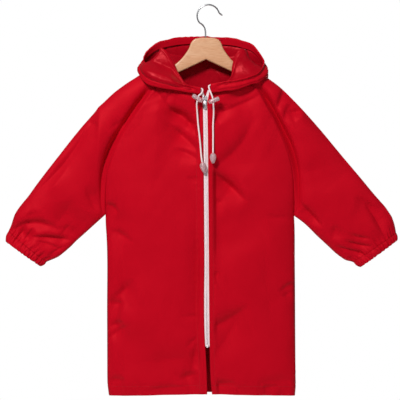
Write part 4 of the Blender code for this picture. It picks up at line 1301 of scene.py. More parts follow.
# %% Stations of the hood
# share of the seam, crest x, y, z, low fold x, y, z, face edge x, y, z
HOOD = {
    "left": [
        (0, -12, -32, -186.5, -12.3, -38.2, -197.6, -11.2, -38.9, -182.6),
        (0.135, -44, -28.5, -175, -42, -38, -193, -38, -43, -178),
        (0.27, -62, -20, -147, -75, -37, -187.4, -64, -43.5, -172),
        (0.387, -74, -14, -126, -108, -34, -181, -95, -40, -160.6),
        (0.47, -89, -11.5, -101, -132, -25, -171, -118, -31, -147),
        (0.525, -98, -7, -91.5, -145, -10, -151.5, -131, -16, -130),
        (0.58, -98, 6, -95, -146, 8, -146.5, -137.5, 3, -117),
        (0.64, -90, 16, -101, -139, 27, -160, -131, 16, -100),
        (0.71, -74, 22, -106, -118, 40, -186, -108, 28, -79.5),
        (0.79, -52, 26, -110, -84, 47, -212, -79, 38, -70),
        (1, 0, 32, -114, 0, 52, -232, 0, 50, -62.8),
    ],
    "right": [
        (0, 9, -32, -181.5, 10, -38.2, -194.5, 8.8, -38.9, -175),
        (0.135, 45, -28.5, -168, 42, -38, -191, 43, -43, -169.6),
        (0.27, 57, -20, -150, 68, -37, -187, 68, -43.5, -166),
        (0.387, 61, -14, -130, 96, -34, -176.5, 95, -40, -158.5),
        (0.47, 69, -11.5, -105, 116, -25, -171, 114, -31, -149),
        (0.525, 80, -7, -95, 130, -10, -157.5, 122.5, -16, -138),
        (0.58, 86, 6, -98, 133, 8, -151.5, 127, 3, -123),
        (0.64, 82, 16, -102, 131, 27, -166, 121.4, 16, -108),
        (0.71, 70, 22, -107, 113, 40, -190, 104, 28, -84.5),
        (0.79, 50, 26, -111, 82, 47, -213, 78, 38, -72.8),
        (1, 0, 32, -114, 0, 52, -232, 0, 50, -62.8),
    ],
}
HOOD_SPANS = ("stand", "crest", "inner layer", "low fold", "outer layer", "face edge", "turned in")
SPAN_GRIPS = (0.35, 0.667, 0.35, 0.667, 0.35, 0.667, 0.3)  # 0.667 turns a span half round
# The width of each fold at the hood's front, and what it gains or loses towards the back
CREST_GAP, CREST_GAP_GAIN = 3, 5
LOW_GAP, LOW_GAP_GAIN, LOW_GAP_GAIN_BEHIND = 6, 3, 7
FACE_GAP, FACE_GAP_LOSS = 6.8, 3.4
TUNNEL_DEPTH, TUNNEL_SHARE = 15, 0.55  # beside the zip only this share of it is turned in
TUNNEL_TURN = 1.95  # how far the turned-in edge lies from the outer layer
UP = np.array([0.0, 0.0, 1.0])
print("stations of the hood:", {side: len(rows) for side, rows in HOOD.items()})


# %% Form of the hood
def bezier(p0, p1, p2, p3, s):
    """The point at s on a span that leaves p0 towards p1 and comes to p3 from p2."""
    early = (1 - s) ** 3 * p0 + 3 * (1 - s) ** 2 * s * p1
    return early + (3 * (1 - s) * s**2 * p2 + s**3 * p3)


def hood_form(side, u, v):
    """Half the hood: u from the front to the centre back, v from the neck seam to the tunnel."""
    table = np.asarray(HOOD[side], float)
    rows = smooth(u, table[:, 0], table[:, 1:] * MM)
    crest, low, edge = rows[..., 0:3], rows[..., 3:6], rows[..., 6:9]
    out = unit((low - crest) * np.array([1.0, 1.0, 0.0]))
    grow = ease(u, 0, 0.4)[..., None]
    crest_gap = (CREST_GAP + CREST_GAP_GAIN * grow) * MM
    behind = ease(u, 0.6, 1)[..., None]
    low_gap = (LOW_GAP + LOW_GAP_GAIN * grow + LOW_GAP_GAIN_BEHIND * behind) * MM
    edge_gap = (FACE_GAP - FACE_GAP_LOSS * ease(u, 0.02, 0.15)[..., None]) * MM
    rise = unit(edge - low)
    inner = -unit(out - rise * (out * rise).sum(axis=-1, keepdims=True))
    low_in, low_out = (low + (out * way + UP) * low_gap / 2 for way in (-1, 1))
    crest_in, crest_out = (crest + (out * way - UP) * crest_gap / 2 for way in (-1, 1))
    edge_out, edge_in = (edge + (inner * way - rise) * edge_gap / 2 for way in (-1, 1))
    turned_in = TUNNEL_DEPTH * MM * (TUNNEL_SHARE + (1 - TUNNEL_SHARE) * grow)
    turned = edge_out - rise * turned_in + inner * TUNNEL_TURN * MM
    joints = [neck_seam(side, u), crest_in, crest_out, low_in, low_out, edge_out, edge_in, turned]
    starts = [UP, UP, -UP, -UP, UP, rise, -rise]
    ends = [UP, -UP, -UP, UP, rise, -rise, -rise]
    place = np.clip(v * len(HOOD_SPANS), 0, len(HOOD_SPANS) - 1e-9)
    points = np.zeros(u.shape + (3,))
    for span, (p0, p3) in enumerate(zip(joints, joints[1:])):
        here = (np.floor(place) == span)[..., None]
        s = (place - span)[..., None]
        grip = SPAN_GRIPS[span] * np.linalg.norm(p3 - p0, axis=-1, keepdims=True)
        p1, p2 = p0 + starts[span] * grip, p3 - ends[span] * grip
        points = np.where(here, bezier(p0, p1, p2, p3, s), points)
    return points


# %% Relief of the hood
# The sharp edge across each flap, x and z, and how steeply the cloth drops away below it
FLAP_EDGE = {
    "left": [(-126, -120), (-121, -121.4), (-77, -139.7), (-52.8, -170.5)],
    "right": [(58, -164), (96, -152), (118, -140), (128, -128)],
}
POCKET_SLOPE = {"left": 0.48, "right": 0.25}
POCKET_REACH = 30  # the cloth drops away no further than this below the edge
HOOD_CREASES = {
    "left": [
        (-121, -123, -75, -142, 2, 6, -2.6),
        (-88, -87, -66, -113, 0, 5, -1.6),
    ],
    "right": [
        (66, -108, 98, -94, -6, 8, 2.0),
        (94, -104, 118, -136, 4, 9, -2.4),
        (76, -122, 104, -150, 2, 8, 2.0),
    ],
}
HOOD_STITCHES = 17  # from the face edge to the tunnel's stitches
HALF_FACE_EDGE = 0.33  # about how long each half's face edge is, in metres
# Two swells of the band: how high, how far below the face edge, how wide
CORD_BULGE, STITCHED_DIP = (2.2, 5, 5), (-1.2, 15, 5)


def pocket(side, x, z):
    """How far the folded layer drops away below the sharp edge of its flap."""
    edge_x, edge_z = np.array(FLAP_EDGE[side]).T * MM
    below = np.clip(np.interp(x, edge_x, edge_z) - z, 0, POCKET_REACH * MM)
    return POCKET_SLOPE[side] * below


def band_depth(side, u):
    """How far the low fold lies below the face edge at u."""
    return column([(row[0], row[9] - row[6]) for row in HOOD[side]], u, 1)


def tunnel_band(side, u, place):
    """The band over the drawcord: it bulges over the cord, and is drawn in along its stitches."""
    down = band_depth(side, u) * (5 - place)
    seed, travel = 73 + SIDES[side], HALF_FACE_EDGE * u
    height = stitched(down - HOOD_STITCHES * MM, travel, seed, depth=0.5, pitch=10)
    for swell, at, width in (CORD_BULGE, STITCHED_DIP):
        height += swell * MM * hump(down - at * MM, width * MM)
    return height


def hood_relief(side, u, v, points):
    """The spans are counted by place: the folded layer is from 1 to 3, and the band from 4 to 5."""
    seed = 71 + SIDES[side]
    x, z = points[..., 0], points[..., 2]
    place = v * len(HOOD_SPANS)
    calm = ease(place, 0, 0.4) * ease(u, 0.02, 0.12) * (1 - ease(u, 0.97, 1))
    height = sway("hood", x, z, seed) + crumples("hood", x, z, seed + 1)
    folded = ease(place, 0.8, 1.4) * (1 - ease(place, 2.4, 3.0))
    height += folded * crumples("inside the hood", x, z, seed + 5)
    inside = ease(place, 1.7, 2.1) * (1 - ease(place, 2.8, 3.1))
    beside_neck = 1 - ease(u, 0.5, 0.62)
    height += inside * (beside_neck * pocket(side, x, z) - creases(HOOD_CREASES[side], x, z))
    outer = ease(place, 3.9, 4.3) * (1 - ease(place, 5.0, 5.4))
    rim = 0.5 * MM * wander(HALF_FACE_EDGE * u, 0 * u, 7 * MM, seed + 3) * hump(place - 5.4, 0.6)
    band = outer * tunnel_band(side, u, place) + rim
    return calm * height + ease(u, 0.04, 0.1) * band


# %% Hood
HOOD_CUT = (0.300, 0.300, 0.070)
span_rows = (30, 12, 36, 12, 60, 12, 10)
stops = [(sum(span_rows[:i]), i / len(span_rows)) for i in range(len(span_rows) + 1)]
for side, sign in SIDES.items():
    surfaces["hood", side] = raised(partial(hood_form, side), partial(hood_relief, side), -sign)
    cloth(
        f"hood_cloth_{side}",
        surfaces["hood", side],
        steps((0, 0), (60, 0.6), (100, 1)),
        steps(*stops),
        HOOD_CUT,
        [f"hood_{side}"],
        flip=sign < 0,
    )

# %% [markdown]
# ## Stitches
# A lockstitch shows as a row of short threads, 3.2 mm apart here.  Each is one small ball drawn
# out along its row, and lies on the surface that the panels were made from.

# %% Rows of stitches
STITCH_PITCH = 3.2 * MM
STITCH_SIZE = (1.25 * MM, 0.3 * MM, 0.24 * MM)  # half sizes: along, across, high
STITCH_LIFT = 0.08 * MM


def between(place, travel, values):
    """The values, one row for each step of travel, at a place between two of them."""
    return np.array([np.interp(place, travel, line) for line in values.T])


def stitch_row(bm, surface, u, v, outward):
    """Adds stitches to bm along the line u, v of a surface."""
    points = surface(u, v) + TO_FRAME
    travel = np.concatenate([[0], np.cumsum(np.linalg.norm(np.diff(points, axis=0), axis=1))])
    nudge = 0.002
    across = surface(np.minimum(u + nudge, 1), v) - surface(np.maximum(u - nudge, 0), v)
    down = surface(u, np.minimum(v + nudge, 1)) - surface(u, np.maximum(v - nudge, 0))
    normals = unit(np.cross(across, down)) * outward
    places = np.arange(STITCH_PITCH, travel[-1], STITCH_PITCH)
    for place in places:
        ends = [between(place + way * MM, travel, points) for way in (-1, 1)]
        tangent = Vector(unit(ends[1] - ends[0]))
        lift = Vector(unit(between(place, travel, normals)))
        side_way = lift.cross(tangent).normalized()
        lift = tangent.cross(side_way)
        turn = Matrix((tangent, side_way, lift)).transposed().to_4x4()
        centre = Vector((ends[0] + ends[1]) / 2) + lift * (CLOTH / 2 + STITCH_LIFT)
        shape = Matrix.Translation(centre) @ turn @ Matrix.Diagonal((*STITCH_SIZE, 1))
        bmesh.ops.create_icosphere(bm, subdivisions=1, radius=1, matrix=shape)
    return len(places)


def stitching(name, rows):
    bm = bmesh.new()
    count = sum(stitch_row(bm, *row) for row in rows)
    print(name, count, "stitches")
    return dressed(finished(bm, name), thread)


# %% Stitches of the body
fine = np.linspace(0, 1, 400)
at_hem = np.full_like(fine, 1 - HEM_DEPTH / (OPENING[0][0] - HEM_Z))
rows_on_body = [(surfaces["back"], fine, at_hem, 1)]
for side, sign in SIDES.items():
    panel = surfaces["front", side]
    rows_on_body.append((panel, fine, at_hem, -sign))
    at_zip, at_side = (front_panel(side, 0 * fine + end, fine) for end in (0, 1))
    share = FACING[side] * MM / np.linalg.norm(at_side - at_zip, axis=-1)
    rows_on_body.append((panel, 2 / math.pi * np.arcsin(share ** (1 / SQUARE)), fine, -sign))
stitching("stitching_body", rows_on_body)

# %% Stitches of the hood and the cuffs
HOOD_STITCH_START = 0.12
rows_on_hood, rows_on_cuffs = [], []
past_zip = fine[fine > HOOD_STITCH_START]
for side, sign in SIDES.items():
    depth = np.maximum(band_depth(side, past_zip), (HOOD_STITCHES + 1) * MM)
    place = (5 - HOOD_STITCHES * MM / depth) / len(HOOD_SPANS)
    rows_on_hood.append((surfaces["hood", side], past_zip, place, -sign))
    rows_on_cuffs.append((surfaces["cuff", side], fine, np.full_like(fine, 0.1), -sign))
stitching("stitching_hood", rows_on_hood)
stitching("stitching_cuffs", rows_on_cuffs)

# %% [markdown]
# ## Zip
# A white coil zip: two woven tapes, and a nylon coil on the edge of each, whose turns lock into
# each other.  Below its end the fronts hang open.

# %% Zip sizes
ZIP_TOP, ZIP_END, CHAIN_TOP = -188.0, -748.0, -206.4
# The tapes' inner edges: z, how far from the middle
TAPE_SPLAY = [(ZIP_TOP, 5.6), (-193, 4.0), (-200, 1.6), (-208, 1.2), (ZIP_END, 1.2)]
TAPE_OUTER = 11
TAPE_BEHIND = 1.1
TAPE_THICKNESS = 0.6
TAPE_CURL = 0.9  # how far its outer edge lies behind its inner one
TAPE_RIBS = 1.0
COIL_PITCH = 2.0
COIL_TURN = (1.7, 0.7, 0.95)  # half sizes: across, deep, along
COIL_REACH = 1.35  # from the middle to the middle of a turn
COIL_AHEAD = 0.5  # of the tapes' faces
SLIDER_TOP, SLIDER_HEIGHT, SLIDER_WIDTH = -200.4, 12.4, 8.2
# One side of its outline from the bottom up: share of the half width, depth below its top
SLIDER_SIDE = [(0.55, SLIDER_HEIGHT), (0.8, 0.55 * SLIDER_HEIGHT), (1, 1.6), (0.72, 0)]
# Its plates and post: the y of both faces from the chain's middle, the rounding of the edges
FRONT_PLATE, BACK_PLATE, POST = (-3.0, -1.4, 0.45), (1.4, 2.8, 0.4), (-1.6, 1.6, 0.15)
POST_HALF, POST_TOP, POST_HEIGHT = 0.9, 0.6, 3.2
BRIDGE_FOOT, BRIDGE_RISE, BRIDGE_REACH, BRIDGE_RADIUS = 2.3, 3.8, 2.7, 0.6
PULL_LENGTH, PULL_WIDTH, PULL_THICKNESS = 24, 6.0, 1.2
PULL_AHEAD = 4.5  # of the chain's middle, between the bridge and the slider's front plate
# Two legs and a bar frame the open top that the bridge passes through
PULL_BAR, PULL_BAR_REACH, PULL_BAR_THICKNESS = 0.6, 2.7, 1.1
PULL_OPEN, PULL_LEG, PULL_LEG_X, PULL_TAPER = 5.6, 0.65, 2.35, 0.05


def opening_line(z):
    """The opening's middle x and the fronts' y there, in mm, at heights z in mm."""
    return column(OPENING, z, 1) / MM, -column(FULLNESS, z, 1) / MM


def tape_surface(side, u, v):
    z = ZIP_TOP + (ZIP_END - ZIP_TOP) * v
    middle, front = opening_line(z)
    near = column(TAPE_SPLAY, z, 1) / MM
    far = TAPE_OUTER + near / 3
    x = middle + SIDES[side] * (near + (far - near) * u)
    return np.stack([x, front + TAPE_BEHIND + TAPE_CURL * u**2, z], axis=-1) * MM


print("zip:", ZIP_TOP - ZIP_END, "mm, its chain", CHAIN_TOP - ZIP_END, "mm")


# %% Zip finishes: woven polyester tape, nylon coil, and nickel-plated zinc
def woven_tape():
    made, tree, shader = new_material("woven_zip_tape", Roughness=0.7, Sheen_Weight=0.15)
    cut = add_node(tree, "ShaderNodeUVMap", {"uv_map": "cut"})
    ribs = add_node(
        tree,
        "ShaderNodeTexWave",
        {"wave_type": "BANDS", "bands_direction": "DIAGONAL"},
        {"Vector": cut.outputs["UV"], "Scale": pattern_size(TAPE_RIBS) / BANDS_IN_WAVE},
    )
    tint = add_node(tree, "ShaderNodeMix", {"data_type": "RGBA"}, {"Factor": ribs.outputs["Fac"]})
    tint.inputs["A"].default_value = linear("#fbe2e6")
    tint.inputs["B"].default_value = linear("#fff0f2")
    tree.links.new(tint.outputs["Result"], shader.inputs["Base Color"])
    bump = add_node(
        tree, "ShaderNodeBump", inputs={"Height": ribs.outputs["Fac"], "Distance": 0.1 * MM}
    )
    tree.links.new(bump.outputs["Normal"], shader.inputs["Normal"])
    return made


def plated_metal(name, colour, roughness):
    """Plating is bright, with fine scuffs that blur the reflections here and there."""
    made, tree, shader = new_material(name, Base_Color=linear(colour), Metallic=1.0)
    place = add_node(tree, "ShaderNodeTexCoord")
    scuffs = add_node(
        tree,
        "ShaderNodeTexNoise",
        inputs={"Vector": place.outputs["Object"], "Scale": pattern_size(1.5), "Detail": 4},
    )
    spread = add_node(
        tree,
        "ShaderNodeMapRange",
        inputs={
            "Value": scuffs.outputs["Fac"],
            "From Min": 0.3,
            "From Max": 0.7,
            "To Min": roughness - 0.06,
            "To Max": roughness + 0.1,
        },
    )
    tree.links.new(spread.outputs["Result"], shader.inputs["Roughness"])
    return made


tape_finish = woven_tape()
coil_finish = new_material("nylon_coil", Base_Color=linear("#fff0f3"), Roughness=0.4)[0]
zinc = plated_metal("nickel_plated_zinc", "#eef0f4", 0.42)
wire_finish = plated_metal("nickel_plated_steel_wire", "#c8c9cc", 0.24)
print("finishes:", tape_finish.name, coil_finish.name, zinc.name, wire_finish.name)

# %% Tapes
for side, sign in SIDES.items():
    tape = mapped_grid(
        f"zip_tape_cloth_{side}",
        np.linspace(0, 1, 7),
        np.linspace(0, 1, 181),
        partial(tape_surface, side),
        flat=((TAPE_OUTER - TAPE_SPLAY[-1][1]) * MM, (ZIP_TOP - ZIP_END) * MM),
        flip=sign > 0,
    )
    dressed(tape, tape_finish, stands_for=[f"zip_tape_{side}"])
    wall = tape.modifiers.new("wall", "SOLIDIFY")
    wall.thickness = TAPE_THICKNESS * MM
    wall.offset = 0
print("tapes:", round(TAPE_OUTER - TAPE_SPLAY[-1][1], 1), "mm wide each")

# %% Coils
bm = bmesh.new()
coil_z = np.arange(CHAIN_TOP - 1, ZIP_END + 4, -COIL_PITCH)
for side, sign in SIDES.items():
    heights = coil_z - (COIL_PITCH / 2 if side == "right" else 0)
    middles, fronts = opening_line(heights)
    for z, middle, front in zip(heights, middles, fronts):
        centre = in_frame((middle + sign * COIL_REACH, front + TAPE_BEHIND - COIL_AHEAD, z))
        shape = Matrix.Translation(centre) @ Matrix.Diagonal((*(s * MM for s in COIL_TURN), 1))
        bmesh.ops.create_icosphere(bm, subdivisions=1, radius=1, matrix=shape)
dressed(finished(bm, "zip_coil"), coil_finish, stands_for=["zip_chain"])
print("coil turns:", 2 * len(coil_z))

# %% [markdown]
# ## Slider and pull
# The slider is two plates joined by a post, wider where the coils come apart.  A bridge on its
# front holds the pull, which swings on it.


# %% Plates
def corners(x0, x1, z0, z1):
    return [(x0, z0), (x1, z0), (x1, z1), (x0, z1)]


def plate(bm, outline, y_low, y_high, bevel):
    """Adds a flat plate to bm from an outline of x, z, in mm, with its edges rounded."""
    verts = [bm.verts.new(Vector((x, y_low, z)) * MM) for x, z in outline]
    face = bm.faces.new(verts)
    made = bmesh.ops.extrude_face_region(bm, geom=[face])
    raised_verts = [item for item in made["geom"] if isinstance(item, bmesh.types.BMVert)]
    bmesh.ops.translate(bm, verts=raised_verts, vec=Vector((0, y_high - y_low, 0)) * MM)
    around = [*verts, *raised_verts]
    edges = dict.fromkeys(edge for vert in around for edge in vert.link_edges)
    bmesh.ops.bevel(
        bm,
        geom=list(edges),
        offset=bevel * MM,
        segments=2,
        profile=0.5,
        affect="EDGES",
        material=-1,
        clamp_overlap=True,
    )


def finished_plates(bm, name):
    bmesh.ops.recalc_face_normals(bm, faces=bm.faces)
    return finished(bm, name)


# %% Slider and its bridge
centre_z = SLIDER_TOP - SLIDER_HEIGHT / 2
slider_middle, slider_front = (float(value) for value in opening_line(np.array(centre_z)))
slider_x = slider_middle - HOOK_TOP_X
chain_y = slider_front + TAPE_BEHIND
right_side = [(share * SLIDER_WIDTH / 2, SLIDER_TOP - down) for share, down in SLIDER_SIDE]
left_side = [(-x, z) for x, z in right_side]
around = (left_side[0], *right_side, *left_side[:0:-1])  # from the lower left corner
slider_outline = [(slider_x + x, z) for x, z in around]
post_top = SLIDER_TOP - POST_TOP
post_x = (slider_x - POST_HALF, slider_x + POST_HALF)
post_outline = corners(*post_x, post_top - POST_HEIGHT, post_top)
bm = bmesh.new()
for outline, (before, behind, rounding) in (
    (slider_outline, FRONT_PLATE),
    (slider_outline, BACK_PLATE),
    (post_outline, POST),
):
    plate(bm, outline, chain_y + before, chain_y + behind, rounding)
slider = dressed(finished_plates(bm, "slider_body"), zinc, stands_for=["zip_slider"])

arch = []
for turn in np.linspace(0, math.pi, 17):
    y = chain_y - BRIDGE_FOOT - BRIDGE_RISE * math.sin(turn)
    arch.append((slider_middle, y, centre_z + BRIDGE_REACH * math.cos(turn)))
dressed(tube("slider_bridge", arch, BRIDGE_RADIUS, 10), zinc)
print("slider:", tuple(round(size, 1) for size in slider.dimensions / MM))

# %% Pull
pull_y = chain_y - PULL_AHEAD
pull_half = PULL_WIDTH / 2
open_z = centre_z - PULL_OPEN
tip_z = centre_z - PULL_LENGTH + PULL_BAR
round_tip = [
    (slider_x + pull_half * math.cos(turn), tip_z + pull_half - pull_half * math.sin(turn))
    for turn in np.linspace(0, math.pi, 13)
]
open_x = pull_half - PULL_TAPER
tab = [*round_tip, (slider_x - open_x, open_z), (slider_x + open_x, open_z)]
bm = bmesh.new()
faces_y = (pull_y - PULL_THICKNESS / 2, pull_y + PULL_THICKNESS / 2)
plate(bm, tab[::-1], *faces_y, 0.3)
for sign in SIDES.values():
    leg_x = slider_x + sign * PULL_LEG_X
    leg = corners(leg_x - PULL_LEG, leg_x + PULL_LEG, open_z, centre_z + PULL_BAR)
    plate(bm, leg, *faces_y, 0.2)
bar_x = (slider_x - PULL_BAR_REACH, slider_x + PULL_BAR_REACH)
bar = corners(*bar_x, centre_z - PULL_BAR, centre_z + PULL_BAR)
plate(bm, bar, pull_y - PULL_BAR_THICKNESS / 2, pull_y + PULL_BAR_THICKNESS / 2, 0.3)
pull = finished_plates(bm, "pull_tab")
dressed(pull, zinc, body="zip_pull", stands_for=["zip_pull"])
print("pull:", tuple(round(size, 1) for size in pull.dimensions / MM))

# %% Bottom stop
stop_low, stop_high = (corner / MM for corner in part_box("zip_bottom_stop"))
bm = bmesh.new()
stop_outline = corners(stop_low.x, stop_high.x, stop_low.z, stop_high.z)
plate(bm, stop_outline, stop_low.y, stop_high.y, 0.5)
stop = finished_plates(bm, "zip_end_stop")
dressed(stop, coil_finish, stands_for=["zip_bottom_stop"])
print("stop:", tuple(round(size, 1) for size in stop.dimensions / MM))

# %% [markdown]
# ## Cord locks and bells
# The lock is a clear barrel with a plunger in it, which a steel spring pushes against the cord.
# The bell is clear too, and hides the cord's knot.  Clear plastic that is moulded has a faint
# haze, so it gets a little roughness and the refraction of polycarbonate.


# %% Clear plastic and spring steel
clear = new_material(
    "clear_polycarbonate",
    Base_Color=linear("#f8d4d9"),
    Roughness=0.28,
    IOR=1.5,
    Transmission_Weight=0.55,
)[0]
spring_finish = plated_metal("spring_steel", "#8b8d92", 0.3)
print("finishes:", clear.name, spring_finish.name)


# %% Turned forms
def turned(name, profile, steps_round, matrix):
    """A closed form turned about X from a profile of x, radius, in mm, then placed by matrix."""
    bm = bmesh.new()
    ring = [bm.verts.new((x * MM, 0, radius * MM)) for x, radius in profile]
    edges = [bm.edges.new(pair) for pair in zip(ring, ring[1:])]
    bmesh.ops.spin(
        bm,
        geom=ring + edges,
        cent=(0, 0, 0),
        axis=(1, 0, 0),
        angle=math.tau,
        steps=steps_round,
        use_merge=True,
        use_normal_flip=False,
    )
    bmesh.ops.remove_doubles(bm, verts=bm.verts, dist=1e-6)
    bmesh.ops.recalc_face_normals(bm, faces=bm.faces)
    bmesh.ops.transform(bm, verts=bm.verts, matrix=matrix)
    return finished(bm, name)


def rounded(x0, x1, radius, corner):
    """The half outline of a round-ended barrel, from its axis at x0 to its axis at x1."""
    turns = np.linspace(0, math.pi / 2, 5)
    bend = [(corner * (1 - math.sin(t)), radius - corner * (1 - math.cos(t))) for t in turns]
    start = [(x0 + inward, r) for inward, r in bend[::-1]]
    end = [(x1 - inward, r) for inward, r in bend]
    return [(x0, 0), *start, *end, (x1, 0)]


# %% Locks
LOCK_LENGTH, LOCK_DIAMETER, LOCK_CORNER = 25, 9.6, 2.6
BUTTON_LENGTH, BUTTON_SHARE, BUTTON_CORNER = 2.4, 0.8, 1.0
BUTTON_GAP = 0.1
SPRING_START, SPRING_LENGTH, SPRING_RADIUS, SPRING_WIRE = 3.2, 7.0, 2.7, 0.35
SPRING_TURNS = 6
for side in SIDES:
    turn = Matrix.Rotation(math.radians(LOCK_TILT[side]), 4, "Y")
    if side == "left":
        turn = turn @ Matrix.Rotation(math.pi, 4, "Z")
    place = Matrix.Translation(in_frame(LOCK_CENTRE[side])) @ turn
    reach, radius = LOCK_LENGTH / 2, LOCK_DIAMETER / 2
    barrel_start = -reach + BUTTON_LENGTH + BUTTON_GAP
    outline = rounded(barrel_start, reach, radius, LOCK_CORNER)
    barrel = turned(f"lock_barrel_{side}", outline, 32, place)
    dressed(barrel, clear, stands_for=[f"cord_lock_{side}"])
    outline = rounded(-reach, -reach + BUTTON_LENGTH, radius * BUTTON_SHARE, BUTTON_CORNER)
    button = dressed(turned(f"lock_plunger_{side}", outline, 28, place), clear)
    coil = []
    for turns in np.linspace(0, SPRING_TURNS, SPRING_TURNS * 12 + 1):
        x = SPRING_START + SPRING_LENGTH * turns / SPRING_TURNS
        y, z = SPRING_RADIUS * math.cos(math.tau * turns), SPRING_RADIUS * math.sin(math.tau * turns)
        coil.append(in_table(place @ (Vector((x, y, z)) * MM)))
    spring = tube(f"lock_spring_{side}", coil, SPRING_WIRE, 6)
    dressed(spring, spring_finish)

# %% Bell sizes
BELL_TOP = {"left": (-8.3, -42.6, -346.5), "right": (15.2, -42.4, -326.3)}
BELL_TILT = {"left": -12.0, "right": 0.0}  # degrees
# Radius, z down from the bell's top: the outside, then the inside back up
BELL_OUTSIDE = [
    (2.6, 0),
    (4.6, -1.4),
    (6.3, -4.2),
    (6.9, -8.6),
    (6.2, -13.0),
    (4.4, -18.0),
    (2.2, -22.0),
]
BELL_INSIDE = [(1.2, -21.6), (3.2, -16.8), (4.2, -12.2), (3.0, -9.4), (0, -8.6)]
KNOT_Z, KNOT_RISE, KNOT_SIZE, KNOT_RADIUS = -12.6, 1.9, 0.5, 1.15


def knot_point(t):
    """A point of an overhand knot at t of 0 to tau, in mm from the bell's top."""
    swing = KNOT_SIZE * (2 + math.cos(3 * t))
    z = KNOT_Z + KNOT_RISE * math.sin(3 * t)
    return Vector((swing * math.cos(2 * t), swing * math.sin(2 * t), z))


outside, inside = (
    along([(-z, 0, radius) for radius, z in rows], np.linspace(0, 1, 26)) / MM
    for rows in (BELL_OUTSIDE, BELL_INSIDE)
)
bell_profile = [(0, 0), *[(x, r) for x, _, r in outside], *[(x, max(r, 0)) for x, _, r in inside]]
print("bell:", round(2 * outside[:, 2].max(), 1), "mm across,", round(outside[-1, 0], 1), "mm long")

# %% Bells with their knots
for side in SIDES:
    tilt = Matrix.Rotation(math.radians(BELL_TILT[side]), 4, "Y")
    hanging = Matrix.Translation(in_frame(BELL_TOP[side])) @ tilt
    place = hanging @ Matrix.Rotation(math.radians(90), 4, "Y")
    bell = turned(f"cord_bell_{side}", bell_profile, 32, place)
    dressed(bell, clear, stands_for=[f"cord_end_{side}"])
    knot_line = [in_table(hanging @ (knot_point(t) * MM)) for t in np.linspace(0, math.tau, 73)]
    knot = dressed(tube(f"cord_knot_{side}", knot_line, KNOT_RADIUS, 10), cord_finish)
    line = cord_line(side)

# %% [markdown]
# ## Hanger
# The hanger is sawn from a beech board 13 mm thick, and its edges are rounded by a router before
# it is varnished.  Its outline is one flat curve; the curve's own bevel rounds the edges.

# %% Hanger sizes
HANGER_UPPER = [
    (0, -70.8),
    (15, -71.6),
    (26, -74.6),
    (32.5, -81.5),
    (37, -93),
    (46, -107.5),
    (57, -120.5),
    (70, -131.3),
    (90, -142.6),
    (120, -158),
    (139, -169),
]
HANGER_TIP = [(146, -174), (148.5, -179), (147, -184.5), (141.5, -186.3)]
HANGER_NOTCH = (0, -119.2)
HANGER_THICKNESS, HANGER_EDGE = 13, 3.5
HOOK_WIRE = 3.4
HOOK_END_FLAT = 0.2  # the share of the wire's thickness that its ground end keeps
HOOK_STEM = [(-1.1, -70.5), (-1.1, -58), (-3, -49), (-8.8, -41.5)]
HOOK_BOW_RADIUS, HOOK_BOW_START, HOOK_BOW_TURN = 24.6, 215.0, 197.0
HOOK_TIP = (36.2, -22)
print("hanger:", 2 * HANGER_TIP[1][0], "mm from tip to tip")


# %% Beech: pale, with fine straight grain along the board and short darker flecks
def beech():
    made, tree, shader = new_material(
        "varnished_beech", Roughness=0.42, Coat_Weight=0.25, Coat_Roughness=0.2
    )
    place = add_node(tree, "ShaderNodeTexCoord")
    stretched = add_node(
        tree,
        "ShaderNodeMapping",
        inputs={"Vector": place.outputs["Object"], "Scale": (0.09, 1.0, 1.0)},
    )
    grain = add_node(
        tree,
        "ShaderNodeTexNoise",
        inputs={"Vector": stretched.outputs["Vector"], "Scale": pattern_size(1.6), "Detail": 5},
    )
    broad = add_node(
        tree,
        "ShaderNodeTexNoise",
        inputs={"Vector": stretched.outputs["Vector"], "Scale": pattern_size(9), "Detail": 2},
    )
    ramp = add_node(tree, "ShaderNodeValToRGB", inputs={"Fac": grain.outputs["Fac"]})
    ramp.color_ramp.elements[0].position = 0.32
    ramp.color_ramp.elements[0].color = linear("#d39c74")
    ramp.color_ramp.elements[1].position = 0.62
    ramp.color_ramp.elements[1].color = linear("#e6b892")
    warm = add_node(
        tree,
        "ShaderNodeMix",
        {"data_type": "RGBA", "blend_type": "MULTIPLY"},
        {"Factor": broad.outputs["Fac"], "A": ramp.outputs["Color"]},
    )
    warm.inputs["B"].default_value = linear("#f6e2d0")
    tree.links.new(warm.outputs["Result"], shader.inputs["Base Color"])
    bump = add_node(
        tree, "ShaderNodeBump", inputs={"Height": grain.outputs["Fac"], "Distance": 0.08 * MM}
    )
    tree.links.new(bump.outputs["Normal"], shader.inputs["Normal"])
    return made


# %% Hanger's outline
upper = [tuple(p[[0, 2]]) for p in along(standing(HANGER_UPPER), np.linspace(0, 1, 45))]
tip_points = along(standing([HANGER_UPPER[-1], *HANGER_TIP]), np.linspace(0, 1, 14))
right_half = [*upper, *[tuple(p[[0, 2]]) for p in tip_points[1:]]]
left_half = [(-x, z) for x, z in right_half[1:]]
notch = (HANGER_NOTCH[0] * MM, HANGER_NOTCH[1] * MM)
hanger_loop = [*right_half, notch, *left_half[::-1]]
print("outline:", len(hanger_loop), "points")

